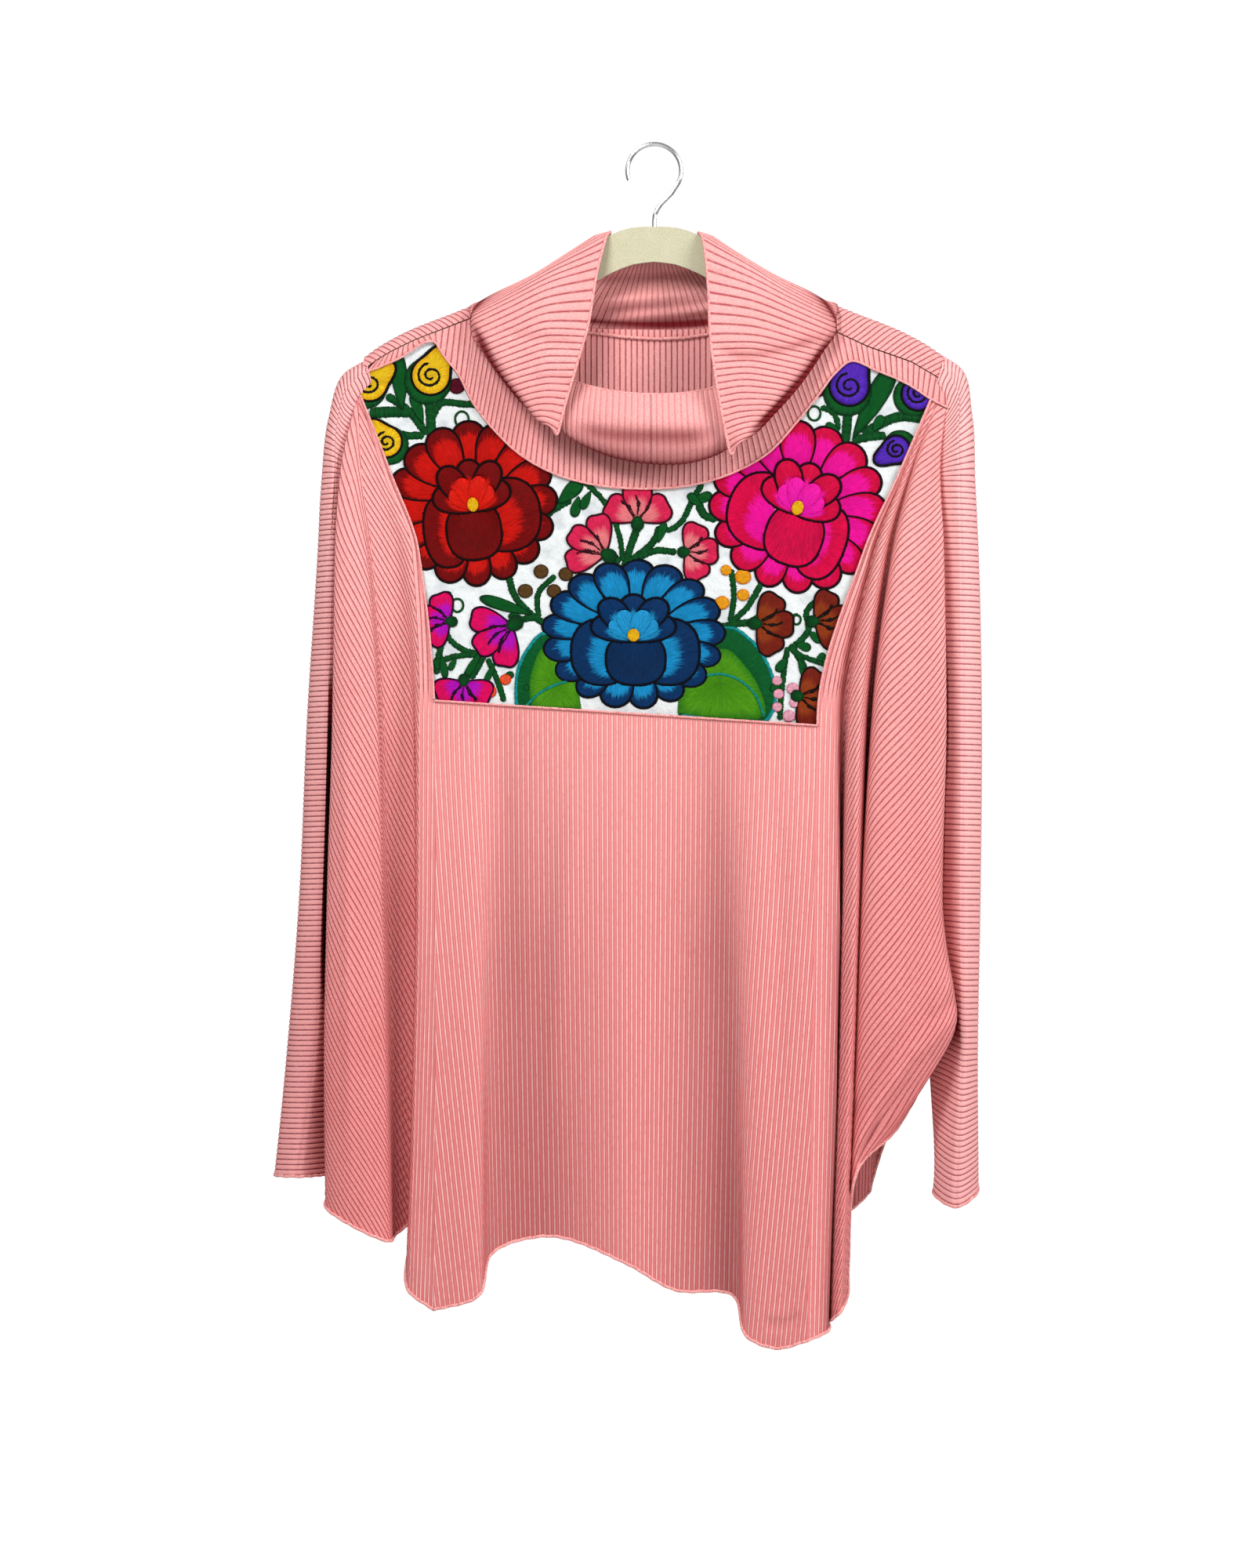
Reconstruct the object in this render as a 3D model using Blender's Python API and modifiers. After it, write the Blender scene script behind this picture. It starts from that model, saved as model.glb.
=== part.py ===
"""Wide-sleeved cowl neck top of ribbed knit with an embroidered yoke, hung on a flat hanger.

World frame: metres, +Z up, the garment's front faces -Y, +X is to a viewer's right.
The origin is the inside top of the hook, where it hangs on a rod.
Tables are in millimetres. A drop is a distance below the top of the hanger's neck.
"""

import math
from collections import namedtuple

import bmesh
import bpy
import numpy as np

MM = 0.001
MERGE = 0.01 * MM  # points nearer than this are one
WALL = 2.0  # ribbed knit of the body and sleeves
YOKE_WALL = 1.5  # woven ground of the embroidered yoke
COLLAR_WALL = 3.0  # the collar is two layers of knit
SEAM_GAP = 0.35  # between neighbouring pieces at a seam
YOKE_GAP = 1.15  # the same round the yoke, whose edges curve
NECK_DROP = 62.0  # from the inside top of the hook to the top of the hanger's neck

HANGER_THICK = 6.0
HOOK_WIRE = 3.4
HOOK_INNER_RADIUS = 19.0
CROOK_TURN = (-38, 201, 14)  # degrees from the crook's start to its tip, and the step between
SHANK_DEPTH = 12.0  # how far the hook's shank goes into the hanger's neck

LEVELS = (130, 190, 250, 375, 520, 640, 850)  # drops at which the fold lines are stated
WING_TOP_LEFT = 136.0
WING_TOP_RIGHT = 142.0
YOKE_BOTTOM_LEFT = (-169.0, 365.0)  # x and drop of the yoke's lower corners
YOKE_BOTTOM_RIGHT = (124.0, 384.0)
YOKE_ROWS = 10

# One row for each fold line of a panel, from left to right. x and depth hold the line's place at
# each level, or at the last four levels for a line that starts under the yoke. bottom is the drop
# at which the line ends, and steps is how many columns lie between it and the next line.
Line = namedtuple("Line", "name x depth bottom steps")

FRONT = (
    Line("side_left", (-229, -239, -238.5, -238.5, -240, -240, -238), (-7, -8, -8, -6, 0, 8, 8), 738, 3),
    Line("wing_edge_left", (-228.5, -241.5, -245, -246, -249.5, -251, -248),
         (-7, -16, -26, -36, -42, -45, -48), 753, 3),
    Line("wing_ridge_left", (-228, -228, -221, -212, -208, -205, -200),
         (-7, -15, -25, -37, -45, -49, -53), 777, 2),
    Line("wing_valley_left", (-227.5, -219, -205, -194, -191, -191, -193),
         (-7, -12, -16, -18, -20, -22, -24), 767, 2),
    Line("body_edge_left", (-227, -208, -186, -180, -180, -182, -188),
         (-7, -12, -20, -31, -39, -43, -50), 816, 1),
    Line("yoke_side_left", (-226, -202.5, -181, -168.5, -167, -167, -168),
         (-7, -11, -18, -31, -42, -48, -58), 832, 2),
    Line("lobe_end_left", (-134, -134, -134, -134), (-32, -42, -49, -60), 824, 1),
    Line("lobe_foot_left", (-125, -125, -125, -125), (-31, -37, -40, -41), 788, 2),
    Line("centre_valley", (-87, -87, -87, -87), (-31, -31, -29, -27), 775, 3),
    Line("centre_ridge", (-21, -21, -21, -21), (-32, -36, -39, -43), 795, 2),
    Line("centre_step", (15, 15, 15, 15), (-31, -34, -36, -38), 815, 2),
    Line("lobe_foot_right", (60, 60, 60, 61), (-31, -34, -37, -39), 820, 1),
    Line("lobe_start_right", (72, 72, 72, 71), (-32, -38, -46, -56), 842, 2),
    Line("yoke_side_right", (214, 188, 161, 125, 122, 120, 116), (-7, -11, -18, -31, -43, -51, -63),
         856, 1),
    Line("body_edge_right", (215, 190, 164, 136, 137, 134, 127), (-7, -12, -20, -30, -40, -46, -54),
         848, 2),
    Line("strip_valley", (216, 192, 169, 146, 142, 138, 130), (-7, -10, -14, -17, -19, -20, -22), 838, 2),
    Line("strip_ridge", (217, 194, 174, 157, 153, 149, 140), (-7, -13, -24, -35, -44, -48, -52), 832, 2),
    Line("wing_valley_right", (219, 197, 181, 165, 159, 155, 147), (-7, -9, -11, -12, -12, -12, -12),
         800, 2),
    Line("wing_start_right", (221, 200, 186, 171, 162, 158, 150), (-7, -14, -25, -34, -42, -44, -44),
         724, 3),
    Line("wing_face_right", (223, 210, 204, 197, 190, 190, 190), (-7, -16, -27, -38, -47, -50, -50),
         690, 3),
    Line("wing_edge_right", (225, 219.5, 221.6, 223, 219, 234, 234), (-7, -16, -28, -38, -44, -46, -46),
         646, 3),
    Line("side_right", (226.5, 219, 217, 214, 214, 213, 212), (-7, -8, -8, -6, 3, 7.4, 8), 622, 0),
)

BACK = (
    Line("side_left", (-226, -239, -238.5, -238.5, -240, -240, -238), (7.5, 11, 18, 24, 20, 9.8, 9.8),
         738, 3),
    Line("wing_edge_left", (-221, -236, -245, -251, -255, -256, -252), (7.5, 17, 31, 42, 47, 50, 52),
         748, 2),
    Line("wing_valley_left", (-208, -216, -216, -211, -206, -203, -200), (7.5, 14, 20, 25, 27, 29, 31),
         750, 2),
    Line("body_ridge_left", (-180, -182, -180, -171, -163, -160, -156), (7.5, 17, 28, 42, 50, 54, 60),
         754, 2),
    Line("neck_end_left", (-150, -150, -149, -145, -141, -139, -136), (7.5, 16, 25, 37, 44, 48, 54),
         756, 4),
    Line("neck_start_left", (-136, -136, -134, -131, -128, -126, -124), (7.5, 14.5, 23, 33, 40, 43, 48),
         756, 2),
    Line("body_valley_left", (-100, -100, -98, -95, -94, -93, -92), (7.5, 13, 20, 27, 31, 33, 35),
         758, 3),
    Line("centre_ridge", (-22, -22, -22, -22, -22, -22, -22), (7.5, 15, 24, 36, 44, 48, 54), 760, 3),
    Line("body_valley_right", (52, 52, 52, 52, 52, 52, 52), (7.5, 13, 20, 27, 31, 33, 35), 760, 3),
    Line("neck_start_right", (136, 135, 133, 127, 122, 118, 114), (7.5, 17, 28, 41, 49, 54, 60), 764, 4),
    Line("neck_end_right", (150, 149, 147, 142, 137, 134, 130), (7.5, 15.5, 25, 34, 39, 42, 46), 764, 1),
    Line("strip_valley_right", (172, 172, 168, 160, 155, 151, 148), (7.5, 14, 20, 25, 27, 29, 31),
         760, 2),
    Line("wing_start_right", (203, 198, 192, 183, 176, 173, 168), (7.5, 17, 28, 39, 44, 45, 46), 742, 2),
    Line("wing_edge_right", (219, 218, 220, 223, 222, 226, 226), (7.5, 17, 31, 41, 46, 48, 48), 648, 3),
    Line("side_right", (227, 219, 217, 214, 214, 213, 212), (7.5, 11, 18, 24, 17, 9.8, 9.8), 622, 0),
)
PANEL_ROWS = 20  # rows of a panel, from its top to its hem
WING_ROWS = 12  # rows of a wing beside the yoke
UNDERARM_SEAM_DEPTH = 8.5  # depth of the seam that closes the right wing's lower edge
UNDERARM_SEAM_GAP = 1.6  # half the space between the two walls that meet there
UNDERARM_SEAM_X = 211.0
UNDERARM_ROUNDING = 46.0  # height over which the wing's faces curve in to that seam

# One row for each section of a sleeve: eight points from the front inner edge round the outside
# to the back inner edge. The second and third are the front and the overarm seam.
Section = namedtuple("Section", "drops x depth")

SLEEVE_LEFT = (
    Section((123, 116, 111, 106, 104, 106, 112, 123),
            (-227, -226, -225, -224.5, -224.5, -224.5, -225.5, -227),
            (-7.5, -7.5, -7, -4, 0, 4, 7.2, 7.5)),
    Section((140, 134, 126, 117, 113, 117, 127, 140),
            (-233, -236, -237.5, -238, -238.5, -238, -236, -231), (-7.7, -8.5, -8, -5, 0, 5, 8, 8)),
    Section((165, 160, 155, 149, 147, 149, 156, 165),
            (-239, -242, -244.5, -249, -250.5, -249, -245, -239), (-8, -10, -12, -8, 1, 9, 13, 10.5)),
    Section((195,) * 8, (-242, -243.8, -246, -252, -256, -254, -248, -242),
            (-8, -11, -14, -10, 1, 11, 15, 12)),
    Section((250,) * 8, (-241, -245, -248.5, -255, -259, -257, -250.5, -241),
            (-8, -15, -19, -13, 2, 14, 20, 18)),
    Section((375,) * 8, (-241, -246, -251.5, -260, -267, -264.5, -256, -241),
            (-6, -15, -22, -17, 2, 19, 28, 24)),
    Section((520,) * 8, (-243, -250, -256, -266, -273.5, -271, -261, -243),
            (0, -13, -24, -20, 2, 21, 30, 20)),
    Section((640,) * 8, (-243, -252, -262, -275, -283, -281, -267, -243),
            (6, -10, -28, -23, 2, 23, 32, 10)),
    Section((729,) * 8, (-246, -254, -275, -288, -292, -289, -272, -246),
            (8, -10, -32, -22, 2, 26, 38, 10)),
)
SLEEVE_RIGHT = (
    Section((123, 115, 109, 104, 101, 104, 111, 123), (228, 227, 226, 225, 225, 225, 226, 228),
            (-7.5, -7.5, -7, -4, 0, 4, 7.2, 7.5)),
    Section((146, 134, 124, 113, 109, 113, 125, 146), (229, 231, 233, 235, 236, 235, 232, 229),
            (-8, -9, -9, -6, 0, 6, 9, 9)),
    Section((170, 162, 155, 147, 144, 147, 156, 170), (225, 229.5, 234.5, 242, 244.5, 242, 234, 225),
            (-8, -11, -13, -9, 1, 9, 13, 11.5)),
    Section((195,) * 8, (222, 226.5, 235.5, 243.5, 247, 245, 236, 222),
            (-8, -13, -18, -12, 1, 13, 18, 12.6)),
    Section((250,) * 8, (220, 227, 236.5, 246, 249.5, 248, 239, 220),
            (-8, -16, -22, -15, 2, 15, 22, 18.5)),
    Section((375,) * 8, (217, 228, 237.5, 248, 252, 250, 240, 217), (-6, -19, -26, -18, 2, 19, 29, 24.5)),
    Section((520,) * 8, (217, 227, 236.5, 247, 251, 249, 239, 217), (3, -19, -29, -19, 2, 22, 31, 17.5)),
    Section((626, 630, 634, 634, 634, 634, 632, 626), (217, 227, 236.5, 245, 249, 246.5, 236, 217),
            (6, -14, -31, -20, 2, 24, 33, 10)),
    Section((738, 744, 752, 744, 738, 740, 744, 740), (209, 213, 232, 246, 249, 246, 230, 209),
            (8, -14, -34, -21, 2, 26, 38, 10)),
)
SIDE_GAP = 3.0  # from a side line to the sleeve's edge
CUFF_GAP = 6.0  # the same at the cuff
CUFF_SPREAD = 90.0  # height above the cuff over which the gap widens
SLEEVE_COLUMNS = (2, 2, 2, 2, 3, 3, 3)  # from each point of a section to the next
SLEEVE_ROWS = (2, 2, 2, 2, 3, 3, 3, 3)  # from each section to the next
EDGE_SHIFT = (1, 0.5, 0.15)  # how much of the move to the side line each column takes

# One row for each section of the collar, from the centre front round by the left to the centre
# back and on to the right: its seam, under side, roll, lower face, upper face and rim, as x, depth
# and drop.
Around = namedtuple("Around", "name seam under roll lower upper rim")

COLLAR = (
    Around("front", (-3, -11, 176), (-3, -22, 181), (-3, -32, 184), (-3, -38, 172), (-3, -33, 150),
           (-3, -21, 130)),
    Around("pouch_left", (-40, -11, 172), (-40, -20, 174), (-40, -30, 176), (-41, -35, 166),
           (-41, -30, 144), (-40, -19, 126)),
    Around("pouch_end_left", (-66, -11, 160), (-66, -18, 161), (-67, -26, 162), (-68, -28, 152),
           (-67, -23, 134), (-63, -15, 119)),
    Around("tuck_left", (-76, -11, 153), (-77, -17, 153), (-80, -23, 151), (-82, -24, 143),
           (-80, -21, 128), (-76, -16, 112)),
    Around("tip_left", (-86, -11.4, 145), (-88, -19, 147), (-86, -31, 153), (-82, -36, 154),
           (-78, -37, 157), (-74, -38, 161)),
    Around("flap_low_left", (-96, -11.4, 134), (-99, -19, 137), (-97, -30, 142), (-88, -34, 140),
           (-79, -35.5, 139), (-69, -36, 141)),
    Around("flap_mid_left", (-112, -11.4, 113), (-116, -17, 117), (-116, -26, 120), (-98, -31, 114),
           (-79, -33, 110), (-60, -33, 110)),
    Around("flap_high_left", (-128, -11.2, 91), (-133, -14, 93), (-133, -20, 95), (-108, -24, 85),
           (-80, -27, 77), (-51, -27, 78)),
    Around("shoulder_left", (-142, -11, 74), (-145, -12, 75), (-144, -15, 76), (-112, -17, 61),
           (-78, -19, 45), (-44, -18, 36)),
    Around("arm_left", (-148, -11.6, 67), (-143, -10, 66), (-134, -9, 62), (-104, -8, 46),
           (-72, -7.5, 27), (-37, -7.5, 8)),
    Around("ridge_left", (-146, 0, 56), (-135, 0, 56), (-120, 0, 49.5), (-92, 0, 37), (-64, 0, 19),
           (-34, 0, -1)),
    Around("over_left", (-140, 11.4, 61), (-129, 11, 58), (-113, 11.5, 53), (-87, 12, 42), (-61, 12, 25),
           (-35, 9, 6)),
    Around("behind_left", (-128, 10.3, 73), (-119, 11, 66), (-105, 12, 59), (-82, 13, 48), (-58, 13, 33),
           (-36, 11, 14)),
    Around("back_left", (-75, 10.3, 79), (-72, 14, 73), (-68, 18, 66), (-60, 16, 54), (-48, 18, 40),
           (-30, 14, 22)),
    Around("back", (0, 10.3, 83), (0, 16, 78), (0, 21, 70), (0, 16, 58), (0, 20, 44), (0, 15, 24)),
    Around("back_right", (75, 10.3, 79), (72, 15, 73), (68, 19, 65), (60, 16, 54), (48, 19, 41),
           (30, 14, 22)),
    Around("behind_right", (124, 10.3, 72), (116, 11, 66), (102, 12, 59), (80, 13, 47), (57, 13, 32),
           (36, 11, 14)),
    Around("over_right", (137, 11.4, 60), (127, 11, 57), (111, 11.5, 52), (86, 12, 41), (60, 12, 25),
           (35, 9, 6)),
    Around("ridge_right", (143, 0, 55), (132, 0, 55), (118, 0, 48.5), (92, 0, 37), (62, 0, 19),
           (34, 0, 0)),
    Around("arm_right", (145, -11.6, 67), (140, -10, 66), (130, -9, 62), (102, -8, 48), (70, -7.5, 28),
           (37, -7.5, 9)),
    Around("shoulder_right", (138, -11, 75), (141, -12, 76), (139, -15, 79), (108, -17, 66),
           (74, -19, 52), (41, -18, 44)),
    Around("flap_high_right", (126, -11.2, 92), (130, -14, 95), (128, -20, 98), (102, -24, 92),
           (73, -27, 88), (43, -27, 88)),
    Around("flap_mid_right", (110, -11.4, 114), (112, -17, 120), (107, -26, 127), (89, -31, 124),
           (69, -33, 122), (48, -33, 125)),
    Around("flap_low_right", (92, -11.4, 136), (93, -19, 143), (87, -30, 148), (76, -34, 148),
           (65, -35.5, 149), (53, -36, 153)),
    Around("tip_right", (80, -11.4, 149), (79, -19, 156), (70, -31, 165), (66, -36, 167), (62, -37, 171),
           (58, -38, 176)),
    Around("tuck_right", (70, -11, 157), (68, -17, 161), (66, -23, 164), (66, -24, 154), (64, -21, 136),
           (60, -16, 118)),
    Around("pouch_end_right", (58, -11, 165), (56, -18, 170), (53, -26, 174), (53, -28, 164),
           (51, -23, 144), (47, -15, 124)),
    Around("pouch_right", (34, -11, 173), (33, -20, 178), (32, -30, 182), (32, -35, 171), (31, -30, 149),
           (30, -19, 128)),
)
BACK_FALL = 124.0  # drop below which the back's folds start
BACK_HALF_TOP = 223.4
BACK_NECK_DROP = 80.0  # of the neck seam at the centre back
BACK_NECK_RISE = 7.0  # how much higher that seam is at its ends
BACK_NECK_HALF = 128.0  # from the centre back to those ends
NECK_CORNER_X = 148.0  # where the shoulder seam ends and the back's edge turns behind the arm
NECK_CORNER_WIDTH = 12.0  # width over which it turns
NECK_SEAM_X = 136.0  # where the back's edge starts to follow the neck seam
NECK_SEAM_WIDTH = 16.0
NECK_SAG = 8.0  # how far the back sags behind the arms near the neck
NECK_FALL = 12.0  # height of the plain stretch below the neck seam
EDGE_ALLOWANCE = 1.2  # cloth past the fold at the back's upper edge
WRAP_RADIUS = 7.5  # of the cloth round the hanger's arm
WRAP_LIFT = 3.4  # from the arm's upper edge to the middle of the cloth on it
# x and drop of the seam along the shoulders, which passes under the collar
SHOULDER_SEAM = ((-225, 107), (-156, 73), (-136, 66), (136, 79), (164, 92), (198, 104), (225, 120))

COLLAR_STEPS = 2  # columns from one section to the next
COLLAR_ROWS = 9

# The front neck band lies between the yoke and the collar, and its ends are the shoulder strips.
# One row for each place along it: the outer edge, which meets the yoke, and the inner edge.
Band = namedtuple("Band", "outer_x outer_drop inner_x inner_drop inner_depth")
BAND_ROWS = 4
STRIP_START = 138.0  # x past which the band lies along the shoulder seam

BAND = (
    Band(-223, 113, -215, 104, -7.5),
    Band(-199, 103, -197, 94, -7.5),
    Band(-170, 92, -171, 81, -7.5),
    Band(-155, 105, -150, 76, -7.5),
    Band(-138, 138, -130, 88, -8),
    Band(-122, 158, -113, 110, -8),
    Band(-104, 175, -97, 131, -8),
    Band(-80, 189, -78, 150, -8),
    Band(-46, 199, -45, 168, -8),
    Band(-8, 202, -5, 173, -8),
    Band(30, 199, 30, 170, -8),
    Band(62, 189, 60, 161, -8),
    Band(88, 174, 80, 147, -8),
    Band(110, 150, 100, 125, -8),
    Band(126, 130, 118, 103, -8),
    Band(140, 112, 133, 90, -7.5),
    Band(150, 104, 146, 84, -7.5),
    Band(171, 111, 169, 95, -7.5),
    Band(196, 122, 196, 104, -7.5),
    Band(213, 133, 216, 115, -7.5),
    Band(226.5, 140, 225, 121, -7.5),
)

# The hanger's outline from the centre of its neck to the tip of an arm, as x and drop.
HANGER_TOP = ((0, 0), (18, 1), (34, 6.5), (60, 24), (90, 43), (120, 56), (156, 70), (190, 83.5), (212, 95.5))
HANGER_TIP = ((220, 105), (221, 112), (215, 117))
PAST_HANGER_TIP = ((226, 106), (240, 118))  # the slope that cloth follows past the tip
HANGER_UNDER = ((205, 116), (170, 103), (130, 88), (95, 72), (62, 52), (34, 36), (16, 29), (0, 27))

COLOURS = {
    "knit": (0.80, 0.36, 0.36),
    "yoke": (0.86, 0.86, 0.83),
    "hanger": (0.80, 0.78, 0.62),
    "hook": (0.75, 0.75, 0.77),
}


def material(name, roughness, metallic=0.0):
    """A Principled material in the named colour."""
    made = bpy.data.materials.get(name) or bpy.data.materials.new(name)
    made.use_nodes = True
    shader = made.node_tree.nodes["Principled BSDF"]
    shader.inputs["Base Color"].default_value = (*COLOURS[name], 1)
    shader.inputs["Roughness"].default_value = roughness
    shader.inputs["Metallic"].default_value = metallic
    return made


def smooth_between(stations, values, at):
    """Values at stations, joined by a monotone cubic, so that nothing overshoots."""
    stations = np.asarray(stations, float)
    values = np.asarray(values, float)
    if values.ndim == 1:
        return smooth_between(stations, values[:, None], at)[..., 0]
    gaps = np.diff(stations)[:, None]
    slopes = np.diff(values, axis=0) / gaps
    before, after = slopes[:-1], slopes[1:]
    same_way = before * after > 0
    mean = np.where(same_way, 2 * before * after / np.where(same_way, before + after, 1), 0)
    tangents = np.vstack([slopes[:1], mean, slopes[-1:]])
    at = np.clip(np.asarray(at, float), stations[0], stations[-1])
    index = np.clip(np.searchsorted(stations, at, side="right") - 1, 0, len(gaps) - 1)
    gap = gaps[index]
    t = (at[..., None] - stations[index][..., None]) / gap
    start, end = values[index], values[index + 1]
    return (
        start * (1 + 2 * t) * (1 - t) ** 2
        + tangents[index] * gap * t * (1 - t) ** 2
        + end * t * t * (3 - 2 * t)
        - tangents[index + 1] * gap * t * t * (1 - t)
    )


def through(points, steps, closed=False):
    """A rounded curve through points, of any dimension, with steps[i] columns after point i."""
    points = np.asarray(points, float)
    count = len(points)
    ring = np.concatenate([points[-1:], points, points[:2]]) if closed else points
    if not closed:
        ring = np.concatenate([2 * points[:1] - points[1:2], points, 2 * points[-1:] - points[-2:-1]])
    gaps = np.diff(ring, axis=0)
    lengths = np.sqrt((gaps**2).reshape(len(gaps), -1).sum(axis=1))
    made = []
    for i in range(count if closed else count - 1):
        before, here, after = lengths[i], lengths[i + 1], lengths[i + 2]
        leave = (gaps[i] / before * here + gaps[i + 1] / here * before) / (before + here) * here
        arrive = (gaps[i + 1] / here * after + gaps[i + 2] / after * here) / (here + after) * here
        for t in np.arange(steps[i]) / steps[i]:
            made.append(
                ring[i + 1] * (1 + 2 * t) * (1 - t) ** 2
                + leave * t * (1 - t) ** 2
                + ring[i + 2] * t * t * (3 - 2 * t)
                - arrive * t * t * (1 - t)
            )
    if not closed:
        made.append(points[-1])
    return np.array(made)


def world(x, depth, drop):
    """A point of a table as world metres."""
    return np.stack(np.broadcast_arrays(x, depth, -(NECK_DROP + np.asarray(drop))), axis=-1) * MM


def sheet(name, grid, wall, stuff, closed=False):
    """A cloth wall of the given thickness about a grid of world points, as one named solid."""
    rows, columns = grid.shape[:2]
    mesh = bpy.data.meshes.new(name)
    work = bmesh.new()
    points = [[work.verts.new(p) for p in row] for row in grid]
    across = columns if closed else columns - 1
    for r in range(rows - 1):
        for c in range(across):
            d = (c + 1) % columns
            work.faces.new((points[r][c], points[r + 1][c], points[r + 1][d], points[r][d]))
    bmesh.ops.recalc_face_normals(work, faces=work.faces)
    work.to_mesh(mesh)
    work.free()
    made = bpy.data.objects.new(name, mesh)
    PARTS.objects.link(made)
    mesh.materials.append(stuff)
    thicken = made.modifiers.new("wall", "SOLIDIFY")
    thicken.thickness = wall * MM
    thicken.offset = 0
    mesh.shade_smooth()
    return made


def line_values(lines, drops, field):
    """x or depth of each line at each drop: one row for each drop, one column for each line."""
    columns = []
    for line, drop in zip(lines, drops.T):
        values = getattr(line, field)
        columns.append(smooth_between(LEVELS[-len(values):], values, drop))
    return np.stack(columns, axis=1)


def panel_grid(lines, tops, rows, curl=False, back=False):
    """A panel's grid from its fold lines, each running from its own top to its own bottom."""
    bottoms = np.array([line.bottom for line in lines], float)
    share = np.linspace(0, 1, rows)[:, None]
    drops = np.asarray(tops, float)[None, :] * (1 - share) + bottoms[None, :] * share
    x = line_values(lines, drops, "x")
    depth = line_values(lines, drops, "depth")
    if curl:
        x, depth = closed_below(lines, drops, x, depth, back)
    steps = [line.steps for line in lines]
    return np.array([through(np.stack(row, axis=1), steps) for row in zip(x, depth, drops)])


def closed_below(lines, drops, x, depth, back):
    """The right wing's faces curve in to the underarm seam above their lower edge."""
    seam = UNDERARM_SEAM_DEPTH + (UNDERARM_SEAM_GAP if back else -UNDERARM_SEAM_GAP)
    for i, line in enumerate(lines):
        if line.name not in ("wing_face_right", "wing_edge_right"):
            continue
        reach = np.clip((drops[:, i] - line.bottom + UNDERARM_ROUNDING) / UNDERARM_ROUNDING, 0, 1)
        depth[:, i] = seam + (depth[:, i] - seam) * np.sqrt(1 - reach**2)
        inward = min(UNDERARM_SEAM_X, line.x[-1])
        x[:, i] = inward + (x[:, i] - inward) * (1 - reach**2)
    return x, depth


def hem_of_yoke(x):
    """The drop of the seam under the yoke at x."""
    (x0, d0), (x1, d1) = YOKE_BOTTOM_LEFT, YOKE_BOTTOM_RIGHT
    return d0 + (d1 - d0) * np.clip((np.asarray(x, float) - x0) / (x1 - x0), 0, 1)


def line_index(lines, name):
    """The place of a named line in its table."""
    return [line.name for line in lines].index(name)


def front(stuff):
    """The front, cut in one with the wings: one on each side of the yoke, and the body below."""
    left = line_index(FRONT, "yoke_side_left")
    right = line_index(FRONT, "yoke_side_right")
    seam = hem_of_yoke([line.x[-4] for line in FRONT])
    body = panel_grid(FRONT, seam, PANEL_ROWS, curl=True)
    sides = []
    for lines, top, drops in (
        (FRONT[: left + 1], WING_TOP_LEFT, seam[: left + 1]),
        (FRONT[right:], WING_TOP_RIGHT, seam[right:]),
    ):
        cut = [line._replace(bottom=drop) for line, drop in zip(lines, drops)]
        sides.append(panel_grid(cut, [top] * len(cut), WING_ROWS))
    work = bmesh.new()
    for grid in (body, *sides):
        points = [[work.verts.new(world(*p)) for p in row] for row in grid]
        for r in range(len(points) - 1):
            for c in range(len(points[0]) - 1):
                below = points[r + 1]
                work.faces.new((points[r][c], below[c], below[c + 1], points[r][c + 1]))
    bmesh.ops.remove_doubles(work, verts=work.verts, dist=MERGE)
    bmesh.ops.recalc_face_normals(work, faces=work.faces)
    mesh = bpy.data.meshes.new("front")
    work.to_mesh(mesh)
    work.free()
    made = bpy.data.objects.new("front", mesh)
    PARTS.objects.link(made)
    mesh.materials.append(stuff)
    thicken = made.modifiers.new("wall", "SOLIDIFY")
    thicken.thickness = WALL * MM
    thicken.offset = 0
    mesh.shade_smooth()
    return made


def hanger_top(x):
    """The drop of the hanger's upper edge at x, past its tip too."""
    outline = HANGER_TOP + PAST_HANGER_TIP
    return smooth_between([p[0] for p in outline], [p[1] for p in outline], np.abs(x))


def over_arm(x, degrees):
    """Depth and drop of cloth that lies round the hanger's arm: -90 is in front and 90 behind."""
    angle = np.radians(degrees)
    return WRAP_RADIUS * np.sin(angle), hanger_top(x) + WRAP_RADIUS * (1 - np.cos(angle)) - WRAP_LIFT


def shoulder_seam(x):
    """The drop of the seam that joins the back to the front along the shoulder, in front of the arm."""
    seam = np.interp(x, [p[0] for p in SHOULDER_SEAM], [p[1] for p in SHOULDER_SEAM])
    return np.maximum(seam, over_arm(x, -90)[1] + 2)


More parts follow.
